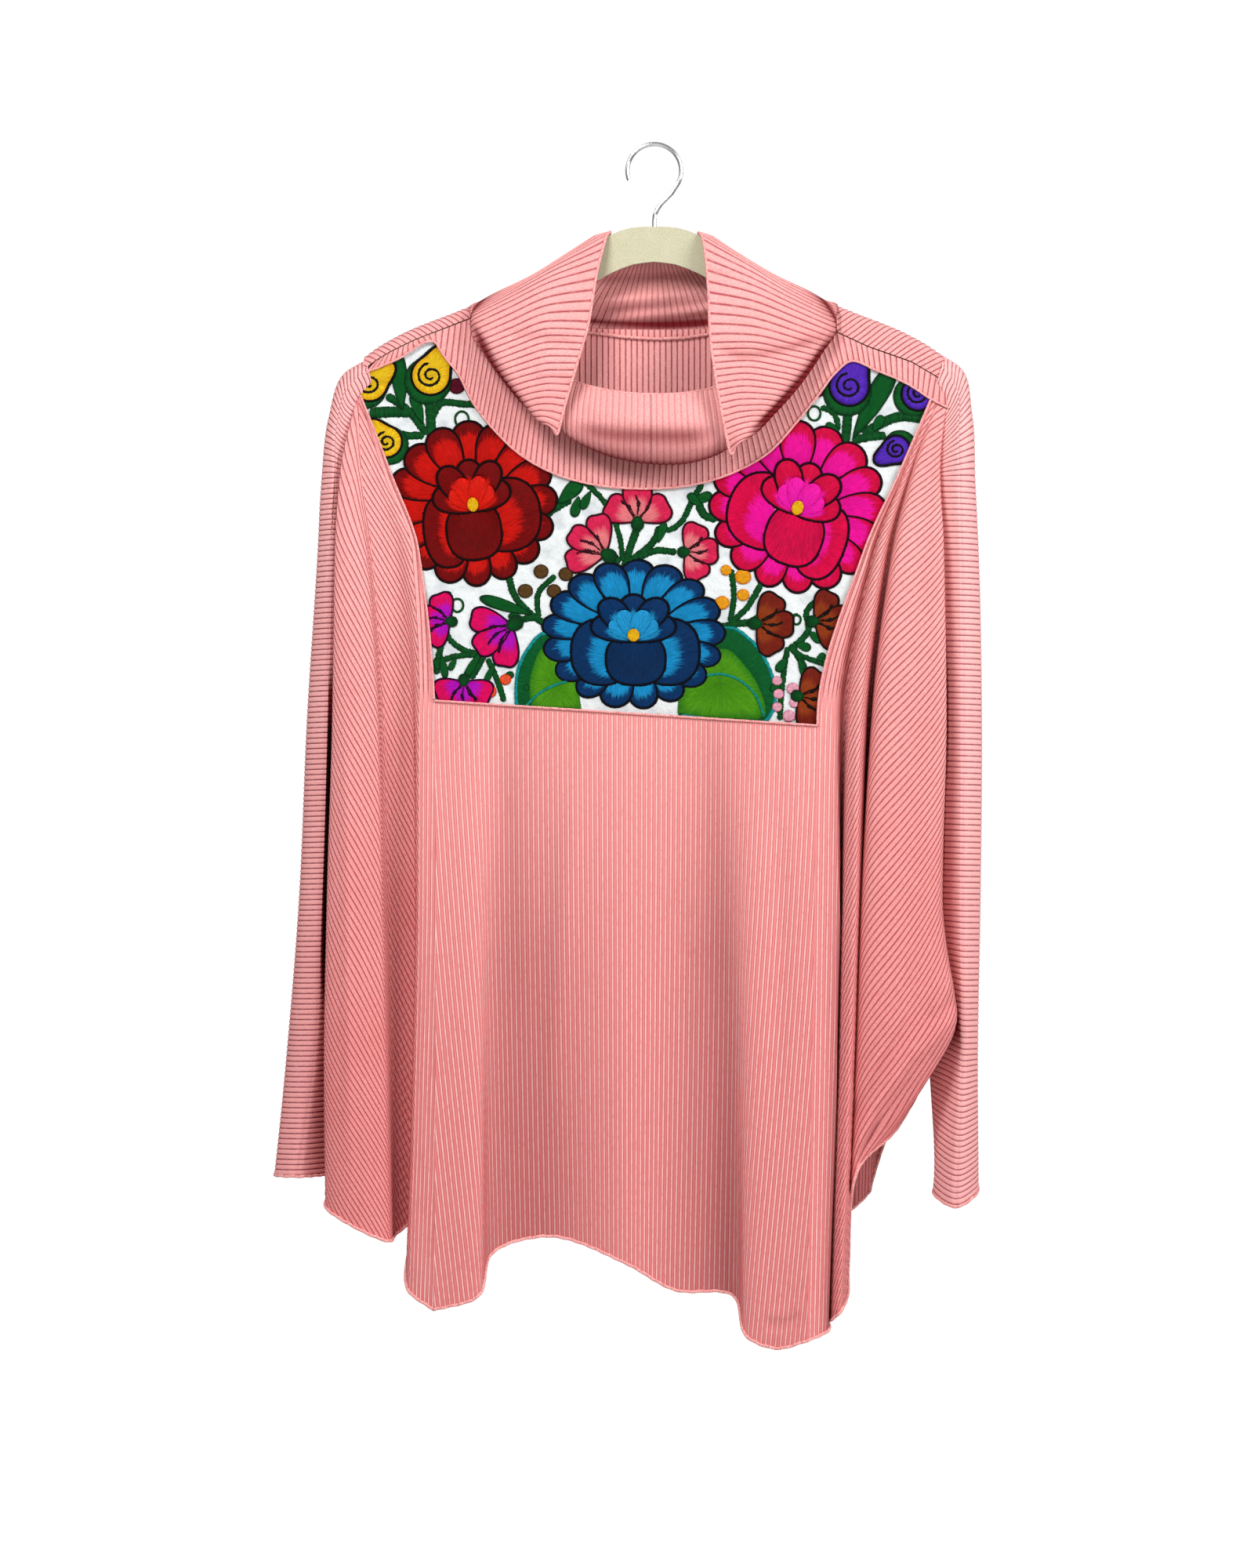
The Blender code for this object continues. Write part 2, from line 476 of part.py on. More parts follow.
def back(stuff):
    """The back: it folds over the hanger's arms to the shoulder seams in front, and falls behind."""
    lower = panel_grid(BACK, [BACK_FALL] * len(BACK), PANEL_ROWS, curl=True, back=True)
    x = np.clip(lower[0, :, 0], -BACK_HALF_TOP, BACK_HALF_TOP)
    over = np.clip((NECK_CORNER_X - np.abs(x)) / NECK_CORNER_WIDTH, 0, 1)
    at_neck = np.clip((NECK_SEAM_X - np.abs(x)) / NECK_SEAM_WIDTH, 0, 1)
    start = -90 + 180 * over
    neck_drop = BACK_NECK_DROP - BACK_NECK_RISE * np.clip(np.abs(x) / BACK_NECK_HALF, 0, 1) ** 2
    rows = []
    for behind in np.linspace(0, 1, 6):
        depth, drop = over_arm(x, start * (1 - behind) + 90 * behind)
        drop = drop + NECK_SAG * behind * over - 2 * over * (1 - over)
        drop = drop * (1 - at_neck) + (neck_drop + NECK_FALL * behind) * at_neck
        rows.append(np.stack([x, depth, drop], axis=1))
    to_seam = shoulder_seam(x) - rows[0][:, 2] - EDGE_ALLOWANCE
    edge = EDGE_ALLOWANCE + to_seam * (1 - over) ** 8
    angle = np.radians(start)
    hem = rows[0] + np.stack([0 * x, -np.cos(angle) * edge, -np.sin(angle) * edge], axis=1)
    between = rows[-1] + (lower[0] - rows[-1]) * 0.5
    grid = np.array([hem, *rows, between, *lower])
    return sheet("back", world(*np.moveaxis(grid, -1, 0)), WALL, stuff)


def sleeve(name, sections, stuff):
    """One sleeve, from the arch over the hanger's tip to its cuff, its edges along the side lines."""
    sides = []
    for section in sections:
        points = np.stack([section.x, section.depth, section.drops], axis=1)
        sides.append(through(points, SLEEVE_COLUMNS))
    grid = through(np.array(sides), SLEEVE_ROWS)
    side = "side_left" if name == "sleeve_left" else "side_right"
    outward = -1 if name == "sleeve_left" else 1
    for lines, columns in ((FRONT, (0, 1, 2)), (BACK, (-1, -2, -3))):
        line = lines[line_index(lines, side)]
        for row in grid:
            drop = row[columns[0], 2]
            near = np.clip((drop - LEVELS[0]) / (LEVELS[1] - LEVELS[0]), 0, 1)
            reach = SIDE_GAP + (CUFF_GAP - SIDE_GAP) * np.clip((drop - LEVELS[5]) / CUFF_SPREAD, 0, 1)
            x = smooth_between(LEVELS, line.x, np.array([drop]))[0] + outward * reach
            depth = smooth_between(LEVELS, line.depth, np.array([drop]))[0]
            shift = np.array([x, depth, drop]) - row[columns[0]]
            for column, share in zip(columns, EDGE_SHIFT):
                row[column] += shift * share * near
    return sheet(name, world(*np.moveaxis(grid, -1, 0)), WALL, stuff)


def collar(stuff):
    """The cowl: a tube that slouches over its seam in front and lies over the hanger's arms."""
    sections = np.array([row[1:] for row in COLLAR], float)
    around = through(sections, [COLLAR_STEPS] * len(sections), closed=True)
    stations = np.linspace(0, 1, sections.shape[1])
    rings = np.moveaxis(around, 0, 1).reshape(len(stations), -1)
    grid = smooth_between(stations, rings, np.linspace(0, 1, COLLAR_ROWS))
    grid = grid.reshape(COLLAR_ROWS, len(around), 3)
    return sheet("collar", world(*np.moveaxis(grid, -1, 0)), COLLAR_WALL, stuff, closed=True)


def yoke_depth(drop):
    """Depth of the yoke: flat at the shoulders and standing forward below."""
    plain = smooth_between(LEVELS[:4], (-7, -11, -18, -31), drop)
    return np.where(drop < LEVELS[0], -7.0, plain)


def band_point(row, share):
    """A point across the neck band: share 0 is its outer edge and 1 its inner edge."""
    x = row.outer_x * (1 - share) + row.inner_x * share
    drop = row.outer_drop * (1 - share) + row.inner_drop * share
    outer_depth = yoke_depth(np.array(float(row.outer_drop)))
    return x, outer_depth * (1 - share) + row.inner_depth * share, drop


def neck_band(stuff):
    """The band of knit above the yoke, from one shoulder strip to the other."""
    rows = []
    for share in np.linspace(0, 1, BAND_ROWS):
        rows.append(through([band_point(row, share) for row in BAND], [2] * (len(BAND) - 1)))
    inner = rows[-1]
    on_arm = np.abs(inner[:, 0]) > STRIP_START
    inner[:, 2] = np.where(on_arm, shoulder_seam(inner[:, 0]) + 4 * SEAM_GAP, inner[:, 2])
    return sheet("neck_band", world(*np.moveaxis(np.array(rows), -1, 0)), WALL, stuff)


def yoke(stuff):
    """The embroidered yoke: its top follows the neck band, its sides the wings, its foot the seam."""
    edge = through([(row.outer_x, row.outer_drop) for row in BAND[:-1]], [2] * (len(BAND) - 2))
    along = np.gradient(edge, axis=0)
    along /= np.linalg.norm(along, axis=1)[:, None]
    top = edge + np.stack([-along[:, 1], along[:, 0]], axis=1) * YOKE_GAP
    top[0, 0] = edge[0, 0] + 0.4
    share = np.linspace(0, 1, len(top))
    (left, low_left), (right, low_right) = YOKE_BOTTOM_LEFT, YOKE_BOTTOM_RIGHT
    left_line = FRONT[line_index(FRONT, "yoke_side_left")]
    right_line = FRONT[line_index(FRONT, "yoke_side_right")]
    grid = []
    for t in np.linspace(0, 1, YOKE_ROWS):
        low = low_left + (low_right - low_left) * share - YOKE_GAP
        drop = top[:, 1] * (1 - t) + low * t
        x = top[:, 0] * (1 - t) + (left + (right - left) * share) * t
        ends = [x[0], x[-1]]
        if t > 0:
            ends = [
                smooth_between(LEVELS, left_line.x, drop[:1])[0] + YOKE_GAP,
                smooth_between(LEVELS, right_line.x, drop[-1:])[0] - YOKE_GAP,
            ]
        x = x + (ends[0] - x[0]) * (1 - share) ** 3 + (ends[1] - x[-1]) * share**3
        grid.append(np.stack([x, yoke_depth(drop), drop], axis=1))
    return sheet("yoke", world(*np.moveaxis(np.array(grid), -1, 0)), YOKE_WALL, stuff)


def hanger(stuff):
    """The flat hanger: its outline as a filled curve, with a bore in the neck for the hook."""
    upper = through(HANGER_TOP, [2] * (len(HANGER_TOP) - 1))
    under = through(HANGER_UNDER, [2] * (len(HANGER_UNDER) - 1))
    half = [*upper, *HANGER_TIP, *under]
    outline = [(x, -drop) for x, drop in half] + [(-x, -drop) for x, drop in half[-2:0:-1]]
    curve = bpy.data.curves.new("hanger_outline", "CURVE")
    curve.dimensions = "2D"
    curve.fill_mode = "BOTH"
    curve.extrude = HANGER_THICK / 2 * MM
    spline = curve.splines.new("POLY")
    spline.points.add(len(outline) - 1)
    for point, (x, up) in zip(spline.points, outline):
        point.co = (x * MM, up * MM, 0, 1)
    spline.use_cyclic_u = True
    guide = bpy.data.objects.new("hanger_outline", curve)
    guide.rotation_euler = (math.pi / 2, 0, 0)
    guide.location = (0, 0, -NECK_DROP * MM)
    PARTS.objects.link(guide)
    bpy.context.view_layer.update()
    mesh = bpy.data.meshes.new_from_object(guide.evaluated_get(bpy.context.evaluated_depsgraph_get()))
    made = bpy.data.objects.new("hanger", mesh)
    made.matrix_world = guide.matrix_world
    bpy.data.objects.remove(guide)
    work = bmesh.new()
    work.from_mesh(mesh)
    bmesh.ops.remove_doubles(work, verts=work.verts, dist=MERGE)
    work.to_mesh(mesh)
    work.free()
    mesh.materials.append(stuff)
    PARTS.objects.link(made)
    bore_radius = (HOOK_WIRE / 2 + SEAM_GAP) * MM
    bore = cutter("hook_bore", bore_radius, 2 * SHANK_DEPTH * MM, (0, 0, -NECK_DROP * MM))
    cut = made.modifiers.new("bore", "BOOLEAN")
    cut.object = bore
    cut.operation = "DIFFERENCE"
    return made


def cutter(name, radius, height, centre):
    """A round cutter, left out of the model."""
    work = bmesh.new()
    bmesh.ops.create_cone(work, cap_ends=True, segments=16, radius1=radius, radius2=radius, depth=height)
    mesh = bpy.data.meshes.new(name)
    work.to_mesh(mesh)
    work.free()
    made = bpy.data.objects.new(name, mesh)
    made.location = centre
    made.hide_render = True
    made.display_type = "WIRE"
    CUTTERS.objects.link(made)
    return made


def hook(stuff):
    """The hook: a shank out of the neck, a bend to one side and a round crook over the rod."""
    radius = HOOK_INNER_RADIUS + HOOK_WIRE / 2
    centre_up = -HOOK_INNER_RADIUS
    foot = -(NECK_DROP + SHANK_DEPTH - SEAM_GAP)
    below = centre_up - radius
    route = [(0, foot), (0, -NECK_DROP), (0.5, below - 13), (5, below - 5), (13, below + 3)]
    for degrees in range(*CROOK_TURN):
        angle = math.radians(degrees)
        route.append((radius * math.cos(angle), centre_up + radius * math.sin(angle)))
    points = through(route, [2] * (len(route) - 1))
    curve = bpy.data.curves.new("hook", "CURVE")
    curve.dimensions = "3D"
    curve.bevel_depth = HOOK_WIRE / 2 * MM
    curve.bevel_resolution = 2
    curve.use_fill_caps = True
    spline = curve.splines.new("POLY")
    spline.points.add(len(points) - 1)
    for point, (x, up) in zip(spline.points, points):
        point.co = (x * MM, 0, up * MM, 1)
    made = bpy.data.objects.new("hook", curve)
    curve.materials.append(stuff)
    PARTS.objects.link(made)
    return made


def main():
    knit = material("knit", 0.85)
    front(knit)
    back(knit)
    sleeve("sleeve_left", SLEEVE_LEFT, knit)
    sleeve("sleeve_right", SLEEVE_RIGHT, knit)
    neck_band(knit)
    collar(knit)
    yoke(material("yoke", 0.9))
    hanger(material("hanger", 0.95))
    hook(material("hook", 0.25, 1.0))


for leftover in list(bpy.data.objects):
    bpy.data.objects.remove(leftover)
PARTS = bpy.data.collections.new("long_sleeve_top")
CUTTERS = bpy.data.collections.new("cutters")
for collection in (PARTS, CUTTERS):
    bpy.context.scene.collection.children.link(collection)
main()
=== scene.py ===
import math
from collections import namedtuple

import bpy
import numpy as np
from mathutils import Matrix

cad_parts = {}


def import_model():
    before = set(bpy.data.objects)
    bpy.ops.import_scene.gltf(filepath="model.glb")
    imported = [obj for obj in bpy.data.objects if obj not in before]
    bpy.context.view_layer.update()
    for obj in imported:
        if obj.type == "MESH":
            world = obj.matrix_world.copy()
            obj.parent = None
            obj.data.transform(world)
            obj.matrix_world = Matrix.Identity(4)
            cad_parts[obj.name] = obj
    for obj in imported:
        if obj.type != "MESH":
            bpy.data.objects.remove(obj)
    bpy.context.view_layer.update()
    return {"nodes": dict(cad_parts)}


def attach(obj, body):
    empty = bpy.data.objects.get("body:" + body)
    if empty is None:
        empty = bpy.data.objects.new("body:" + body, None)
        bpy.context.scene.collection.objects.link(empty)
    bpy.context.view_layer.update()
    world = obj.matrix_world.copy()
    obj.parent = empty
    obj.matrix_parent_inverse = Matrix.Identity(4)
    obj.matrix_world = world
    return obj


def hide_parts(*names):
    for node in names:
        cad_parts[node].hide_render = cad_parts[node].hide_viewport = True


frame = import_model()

# Tables are in millimetres. A drop is a distance below the top of the hanger's neck.
MM = 0.001
NECK_DROP = 62.0
LEVELS = (130, 190, 250, 375, 520, 640, 850)
WING_TOP_LEFT = 130.0
WING_TOP_RIGHT_SLOPE = (133.0, 141.0)  # at its inner and outer end
YOKE_BOTTOM_LEFT = (-169.0, 365.0)
YOKE_BOTTOM_RIGHT = (124.0, 384.0)
BACK_FALL = 124.0
BACK_HALF_TOP = 223.4
WRAP_RADIUS = 7.5
WRAP_LIFT = 3.4
SHOULDER_SEAM = ((-225, 107), (-156, 73), (-136, 66), (136, 79), (164, 92), (198, 104), (225, 120))
UNDERARM_SEAM_DEPTH = 8.5
UNDERARM_SEAM_GAP = 1.6
UNDERARM_SEAM_X = 211.0
UNDERARM_ROUNDING = 46.0
SIDE_GAP = -1.4  # the sleeve's edge lies this far under the wing's
CUFF_GAP = 5.0
TUCK_UNDER = 5.0  # how far a sleeve's top runs in under the shoulder

BODY_PITCH = 3.8  # from rib to rib
BACK_PITCH = 4.4
BAND_PITCH = 4.7
COLLAR_PITCH = 5.0
SLEEVE_PITCH = {"left": 4.0, "right": 4.4}
WING_SPACING = {"left": 6.0, "right": 8.8}  # down a wing
FOLD_SLANT = 0.125  # ribs passed for each millimetre down the cloth between body and wing
RIB_LIFT = 0.65
ROLL_RADIUS = 1.25  # of a rolled hem
TURNED_RADIUS = 0.9  # of an edge turned in at a seam
COLLAR_RIM_RADIUS = 1.1
NECK_CORD_RADIUS = 1.3
TUBE_SIDES = 7
FINE = 12  # columns of a front panel for each step between its fold lines
BACK_FINE = 10
COLLAR_FINE = 30  # points round the collar for each of its sections
COLLAR_ROWS = 40
SLEEVE_FINE = 7  # points round a sleeve for each eighth of a section
SEAM_COLUMN = 2 * SLEEVE_FINE  # the column of the seam along a sleeve

Line = namedtuple("Line", "name x depth bottom steps")

FRONT = (
    Line("side_left", (-229, -239, -238.5, -238.5, -240, -240, -238), (-7, -8, -8, -6, 0, 8, 8), 738, 3),
    Line("wing_edge_left", (-228.5, -241.5, -245, -246, -249.5, -251, -248),
         (-7, -16, -26, -36, -42, -45, -48), 753, 3),
    Line("wing_ridge_left", (-228, -228, -221, -212, -208, -205, -200),
         (-7, -15, -25, -37, -45, -49, -53), 777, 1),
    Line("wing_fold_left", (-227.8, -225, -217, -207.5, -203.5, -200.5, -196),
         (-7, -13, -18, -23, -26, -28, -30), 773, 1),
    Line("wing_valley_left", (-227.5, -217, -200, -188, -186, -187, -191),
         (-7, -12, -16, -18, -20, -22, -24), 767, 2),
    Line("body_edge_left", (-227, -208, -186, -180, -180, -182, -188),
         (-7, -12, -20, -31, -39, -43, -50), 816, 1),
    Line("yoke_side_left", (-226, -202.5, -181, -168.5, -167, -167, -168),
         (-7, -11, -18, -31, -42, -48, -58), 829, 2),
    Line("lobe_end_left", (-134, -134, -134, -134), (-32, -42, -49, -60), 818, 1),
    Line("lobe_foot_left", (-125, -125, -125, -125), (-31, -37, -40, -41), 788, 2),
    Line("centre_valley", (-87, -87, -87, -87), (-31, -31, -29, -27), 775, 3),
    Line("centre_ridge", (-21, -21, -21, -21), (-32, -36, -39, -43), 795, 2),
    Line("centre_step", (15, 15, 15, 15), (-31, -34, -36, -38), 815, 2),
    Line("lobe_foot_right", (60, 60, 60, 61), (-31, -34, -37, -39), 820, 1),
    Line("lobe_start_right", (72, 72, 72, 71), (-32, -38, -46, -56), 850, 1),
    Line("lobe_middle_right", (97, 97, 96, 93), (-32, -41, -49.5, -60), 858, 1),
    Line("yoke_side_right", (214, 188, 161, 125, 122, 120, 116), (-7, -11, -18, -31, -43, -51, -63),
         852, 1),
    Line("body_edge_right", (215, 190, 164, 138, 140.5, 138, 131), (-7, -12, -20, -30, -40, -46, -54),
         846, 2),
    Line("strip_valley", (216, 192, 169, 146, 142, 139, 131.5), (-7, -10, -14, -17, -19, -20, -22),
         838, 1),
    Line("strip_start", (216.4, 193, 171, 150.5, 146, 142.5, 135), (-7, -12.5, -22, -31, -39, -43, -47),
         837, 1),
    Line("strip_ridge", (217, 194, 174, 157, 153, 149, 140), (-7, -13, -24, -35, -44, -48, -52), 832, 1),
    Line("strip_end", (218, 196, 178, 162, 157.5, 153.5, 145), (-7, -11, -19, -27, -34, -38, -42),
         824, 1),
    Line("wing_valley_right", (219, 197, 181, 165, 159, 155, 147), (-7, -9, -11, -12, -12, -12, -12),
         800, 2),
    Line("wing_start_right", (221, 200, 186, 171, 162, 158, 150), (-7, -14, -25, -34, -42, -44, -44),
         724, 3),
    Line("wing_face_right", (223, 210, 204, 197, 190, 190, 190), (-7, -16, -27, -38, -47, -50, -50),
         690, 3),
    Line("wing_edge_right", (225, 219.5, 221.6, 223, 219, 234, 234), (-7, -16, -28, -38, -44, -46, -46),
         646, 3),
    Line("side_right", (226.5, 219, 217, 214, 214, 213, 212), (-7, -8, -8, -6, 3, 7.4, 8), 622, 0),
)

BACK = (
    Line("side_left", (-226, -239, -238.5, -238.5, -240, -240, -238), (7.5, 11, 18, 24, 20, 9.8, 9.8),
         738, 3),
    Line("wing_edge_left", (-221, -236, -245, -251, -255, -256, -252), (7.5, 17, 31, 42, 47, 50, 52),
         748, 2),
    Line("wing_valley_left", (-208, -216, -216, -211, -206, -203, -200), (7.5, 14, 20, 25, 27, 29, 31),
         750, 2),
    Line("body_ridge_left", (-180, -182, -180, -171, -163, -160, -156), (7.5, 17, 28, 42, 50, 54, 60),
         754, 2),
    Line("neck_end_left", (-150, -150, -149, -145, -141, -139, -136), (7.5, 16, 25, 37, 44, 48, 54),
         756, 4),
    Line("neck_start_left", (-136, -136, -134, -131, -128, -126, -124), (7.5, 14.5, 23, 33, 40, 43, 48),
         756, 2),
    Line("body_valley_left", (-100, -100, -98, -95, -94, -93, -92), (7.5, 13, 20, 27, 31, 33, 35),
         758, 3),
    Line("centre_ridge", (-22, -22, -22, -22, -22, -22, -22), (7.5, 15, 24, 36, 44, 48, 54), 760, 3),
    Line("body_valley_right", (52, 52, 52, 52, 52, 52, 52), (7.5, 13, 20, 27, 31, 33, 35), 760, 3),
    Line("neck_start_right", (136, 135, 133, 127, 122, 118, 114), (7.5, 17, 28, 41, 49, 54, 60), 764, 4),
    Line("neck_end_right", (150, 149, 147, 142, 137, 134, 130), (7.5, 15.5, 25, 34, 39, 42, 46), 764, 1),
    Line("strip_valley_right", (172, 172, 168, 160, 155, 151, 148), (7.5, 14, 20, 25, 27, 29, 31),
         760, 2),
    Line("wing_start_right", (203, 198, 192, 183, 176, 173, 168), (7.5, 17, 28, 39, 44, 45, 46), 742, 2),
    Line("wing_edge_right", (219, 218, 220, 223, 222, 226, 226), (7.5, 17, 31, 41, 46, 48, 48), 648, 3),
    Line("side_right", (227, 219, 217, 214, 214, 213, 212), (7.5, 11, 18, 24, 17, 9.8, 9.8), 622, 0),
)

Section = namedtuple("Section", "drops x depth")

SLEEVE_LEFT = (
    Section((123, 116, 111, 106, 104, 106, 112, 123),
            (-227, -226, -225, -224.5, -224.5, -224.5, -225.5, -227),
            (-7.5, -7.5, -7, -4, 0, 4, 7.2, 7.5)),
    Section((140, 134, 126, 117, 113, 117, 127, 140),
            (-233, -236, -237.5, -238, -238.5, -238, -236, -231), (-7.7, -8.5, -8, -5, 0, 5, 8, 8)),
    Section((165, 160, 155, 149, 147, 149, 156, 165),
            (-239, -242, -244.5, -249, -250.5, -249, -245, -239), (-8, -10, -12, -8, 1, 9, 13, 10.5)),
    Section((195,) * 8, (-242, -243.8, -246, -252, -256, -254, -248, -242),
            (-8, -11, -14, -10, 1, 11, 15, 12)),
    Section((250,) * 8, (-241, -245, -248.5, -255, -259, -257, -250.5, -241),
            (-8, -15, -19, -13, 2, 14, 20, 18)),
    Section((375,) * 8, (-241, -246, -251.5, -260, -267, -264.5, -256, -241),
            (-6, -15, -22, -17, 2, 19, 28, 24)),
    Section((520,) * 8, (-243, -250, -256, -266, -273.5, -271, -261, -243),
            (0, -13, -24, -20, 2, 21, 30, 20)),
    Section((640,) * 8, (-243, -252, -262, -275, -283, -281, -267, -243),
            (6, -10, -28, -23, 2, 23, 32, 10)),
    Section((729,) * 8, (-246, -254, -275, -288, -292, -289, -272, -246),
            (8, -10, -32, -22, 2, 26, 38, 10)),
)
SLEEVE_RIGHT = (
    Section((123, 115, 109, 104, 101, 104, 111, 123), (228, 227, 226, 225, 225, 225, 226, 228),
            (-7.5, -7.5, -7, -4, 0, 4, 7.2, 7.5)),
    Section((146, 134, 124, 113, 109, 113, 125, 146), (229, 231, 233, 235, 236, 235, 232, 229),
            (-8, -9, -9, -6, 0, 6, 9, 9)),
    Section((170, 162, 155, 147, 144, 147, 156, 170), (225, 229.5, 234.5, 242, 244.5, 242, 234, 225),
            (-8, -11, -13, -9, 1, 9, 13, 11.5)),
    Section((195,) * 8, (222, 226.5, 235.5, 243.5, 247, 245, 236, 222),
            (-8, -13, -18, -12, 1, 13, 18, 12.6)),
    Section((250,) * 8, (220, 227, 236.5, 246, 249.5, 248, 239, 220),
            (-8, -16, -22, -15, 2, 15, 22, 18.5)),
    Section((375,) * 8, (217, 228, 237.5, 248, 252, 250, 240, 217), (-6, -19, -26, -18, 2, 19, 29, 24.5)),
    Section((520,) * 8, (217, 227, 236.5, 247, 251, 249, 239, 217), (3, -19, -29, -19, 2, 22, 31, 17.5)),
    Section((626, 630, 634, 634, 634, 634, 632, 626), (217, 227, 236.5, 245, 249, 246.5, 236, 217),
            (6, -14, -31, -20, 2, 24, 33, 10)),
    Section((738, 744, 752, 744, 738, 740, 744, 740), (209, 213, 232, 246, 249, 246, 230, 209),
            (8, -14, -34, -21, 2, 26, 38, 10)),
)

Around = namedtuple("Around", "name seam under roll lower upper rim")

COLLAR = (
    Around("front", (-3, -11, 176), (-3, -22, 181), (-3, -32, 184), (-3, -38, 172), (-3, -33, 150),
           (-3, -21, 130)),
    Around("pouch_left", (-40, -11, 172), (-40, -20, 174), (-40, -30, 176), (-41, -35, 166),
           (-41, -30, 144), (-40, -19, 126)),
    Around("pouch_end_left", (-66, -11, 160), (-66, -18, 161), (-67, -26, 162), (-68, -28, 152),
           (-67, -23, 134), (-63, -15, 119)),
    Around("tuck_left", (-76, -11, 153), (-77, -17, 153), (-80, -23, 151), (-82, -24, 143),
           (-80, -21, 128), (-76, -16, 112)),
    Around("tip_left", (-86, -11.4, 145), (-88, -19, 147), (-86, -31, 153), (-82, -36, 154),
           (-78, -37, 157), (-74, -38, 161)),
    Around("flap_low_left", (-96, -11.4, 134), (-99, -19, 137), (-97, -30, 142), (-88, -34, 140),
           (-79, -35.5, 139), (-69, -36, 141)),
    Around("flap_mid_left", (-112, -11.4, 113), (-116, -17, 117), (-116, -26, 120), (-98, -31, 114),
           (-79, -33, 110), (-60, -33, 110)),
    Around("flap_high_left", (-128, -11.2, 91), (-133, -14, 93), (-133, -20, 95), (-108, -24, 85),
           (-80, -27, 77), (-51, -27, 78)),
    Around("shoulder_left", (-142, -11, 74), (-145, -12, 75), (-144, -15, 76), (-112, -17, 61),
           (-78, -19, 45), (-44, -18, 36)),
    Around("arm_left", (-148, -11.6, 67), (-143, -10, 66), (-134, -9, 62), (-104, -8, 46),
           (-72, -7.5, 27), (-37, -7.5, 8)),
    Around("ridge_left", (-146, 0, 61.5), (-137, 0, 59), (-120, 0, 50.5), (-92, 0, 37), (-64, 0, 19),
           (-34, 0, -1)),
    Around("over_left", (-140, 11.4, 61), (-129, 11, 58), (-113, 11.5, 53), (-87, 12, 42), (-61, 12, 25),
           (-35, 9, 6)),
    Around("behind_left", (-128, 10.3, 73), (-119, 11, 66), (-105, 12, 59), (-82, 13, 48), (-58, 13, 33),
           (-36, 11, 14)),
    Around("back_left", (-75, 10.3, 79), (-72, 14, 73), (-68, 18, 66), (-60, 16, 54), (-48, 18, 40),
           (-30, 14, 22)),
    Around("back", (0, 10.3, 83), (0, 16, 78), (0, 21, 70), (0, 16, 58), (0, 20, 44), (0, 15, 24)),
    Around("back_right", (75, 10.3, 79), (72, 15, 73), (68, 19, 65), (60, 16, 54), (48, 19, 41),
           (30, 14, 22)),
    Around("behind_right", (124, 10.3, 72), (116, 11, 66), (102, 12, 59), (80, 13, 47), (57, 13, 32),
           (36, 11, 14)),
    Around("over_right", (137, 11.4, 60), (127, 11, 57), (111, 11.5, 52), (86, 12, 41), (60, 12, 25),
           (35, 9, 6)),
    Around("ridge_right", (143, 0, 60), (134, 0, 58), (118, 0, 49.5), (92, 0, 37), (62, 0, 19),
           (34, 0, 0)),
    Around("arm_right", (145, -11.6, 67), (140, -10, 66), (130, -9, 62), (102, -8, 48), (70, -7.5, 28),
           (37, -7.5, 9)),
    Around("shoulder_right", (138, -11, 75), (141, -12, 76), (139, -15, 79), (108, -17, 66),
           (74, -19, 52), (41, -18, 44)),
    Around("flap_high_right", (126, -11.2, 92), (130, -14, 95), (128, -20, 98), (102, -24, 92),
           (73, -27, 88), (43, -27, 88)),
    Around("flap_mid_right", (110, -11.4, 114), (112, -17, 120), (107, -26, 127), (89, -31, 124),
           (69, -33, 122), (48, -33, 125)),
    Around("flap_low_right", (92, -11.4, 136), (93, -19, 143), (87, -30, 148), (76, -34, 148),
           (65, -35.5, 149), (53, -36, 153)),
    Around("tip_right", (80, -11.4, 149), (79, -19, 156), (70, -31, 165), (66, -36, 167), (62, -37, 171),
           (58, -38, 176)),
    Around("tuck_right", (70, -11, 157), (68, -17, 161), (66, -23, 164), (66, -24, 154), (64, -21, 136),
           (60, -16, 118)),
    Around("pouch_end_right", (58, -11, 165), (56, -18, 170), (53, -26, 174), (53, -28, 164),
           (51, -23, 144), (47, -15, 124)),
    Around("pouch_right", (34, -11, 173), (33, -20, 178), (32, -30, 182), (32, -35, 171), (31, -30, 149),
           (30, -19, 128)),
)

Band = namedtuple("Band", "outer_x outer_drop inner_x inner_drop inner_depth")

BAND = (
    Band(-223, 113, -215, 104, -7.5),
    Band(-199, 103, -197, 94, -7.5),
    Band(-168, 90, -169, 80, -7.5),
    Band(-163, 98, -160, 77, -7.5),
    Band(-152, 112, -148, 74, -7.5),
    Band(-138, 138, -130, 88, -8),
    Band(-122, 158, -113, 110, -8),
    Band(-104, 175, -97, 131, -8),
    Band(-80, 189, -78, 150, -8),
    Band(-46, 199, -45, 168, -8),
    Band(-8, 202, -5, 173, -8),
    Band(30, 199, 30, 170, -8),
    Band(62, 189, 60, 161, -8),
    Band(88, 174, 80, 147, -8),
    Band(110, 150, 100, 125, -8),
    Band(126, 130, 118, 103, -8),
    Band(140, 112, 133, 90, -7.5),
    Band(150, 104, 146, 84, -7.5),
    Band(171, 111, 169, 95, -7.5),
    Band(196, 122, 196, 104, -7.5),
    Band(213, 133, 216, 115, -7.5),
    Band(226.5, 140, 225, 121, -7.5),
)
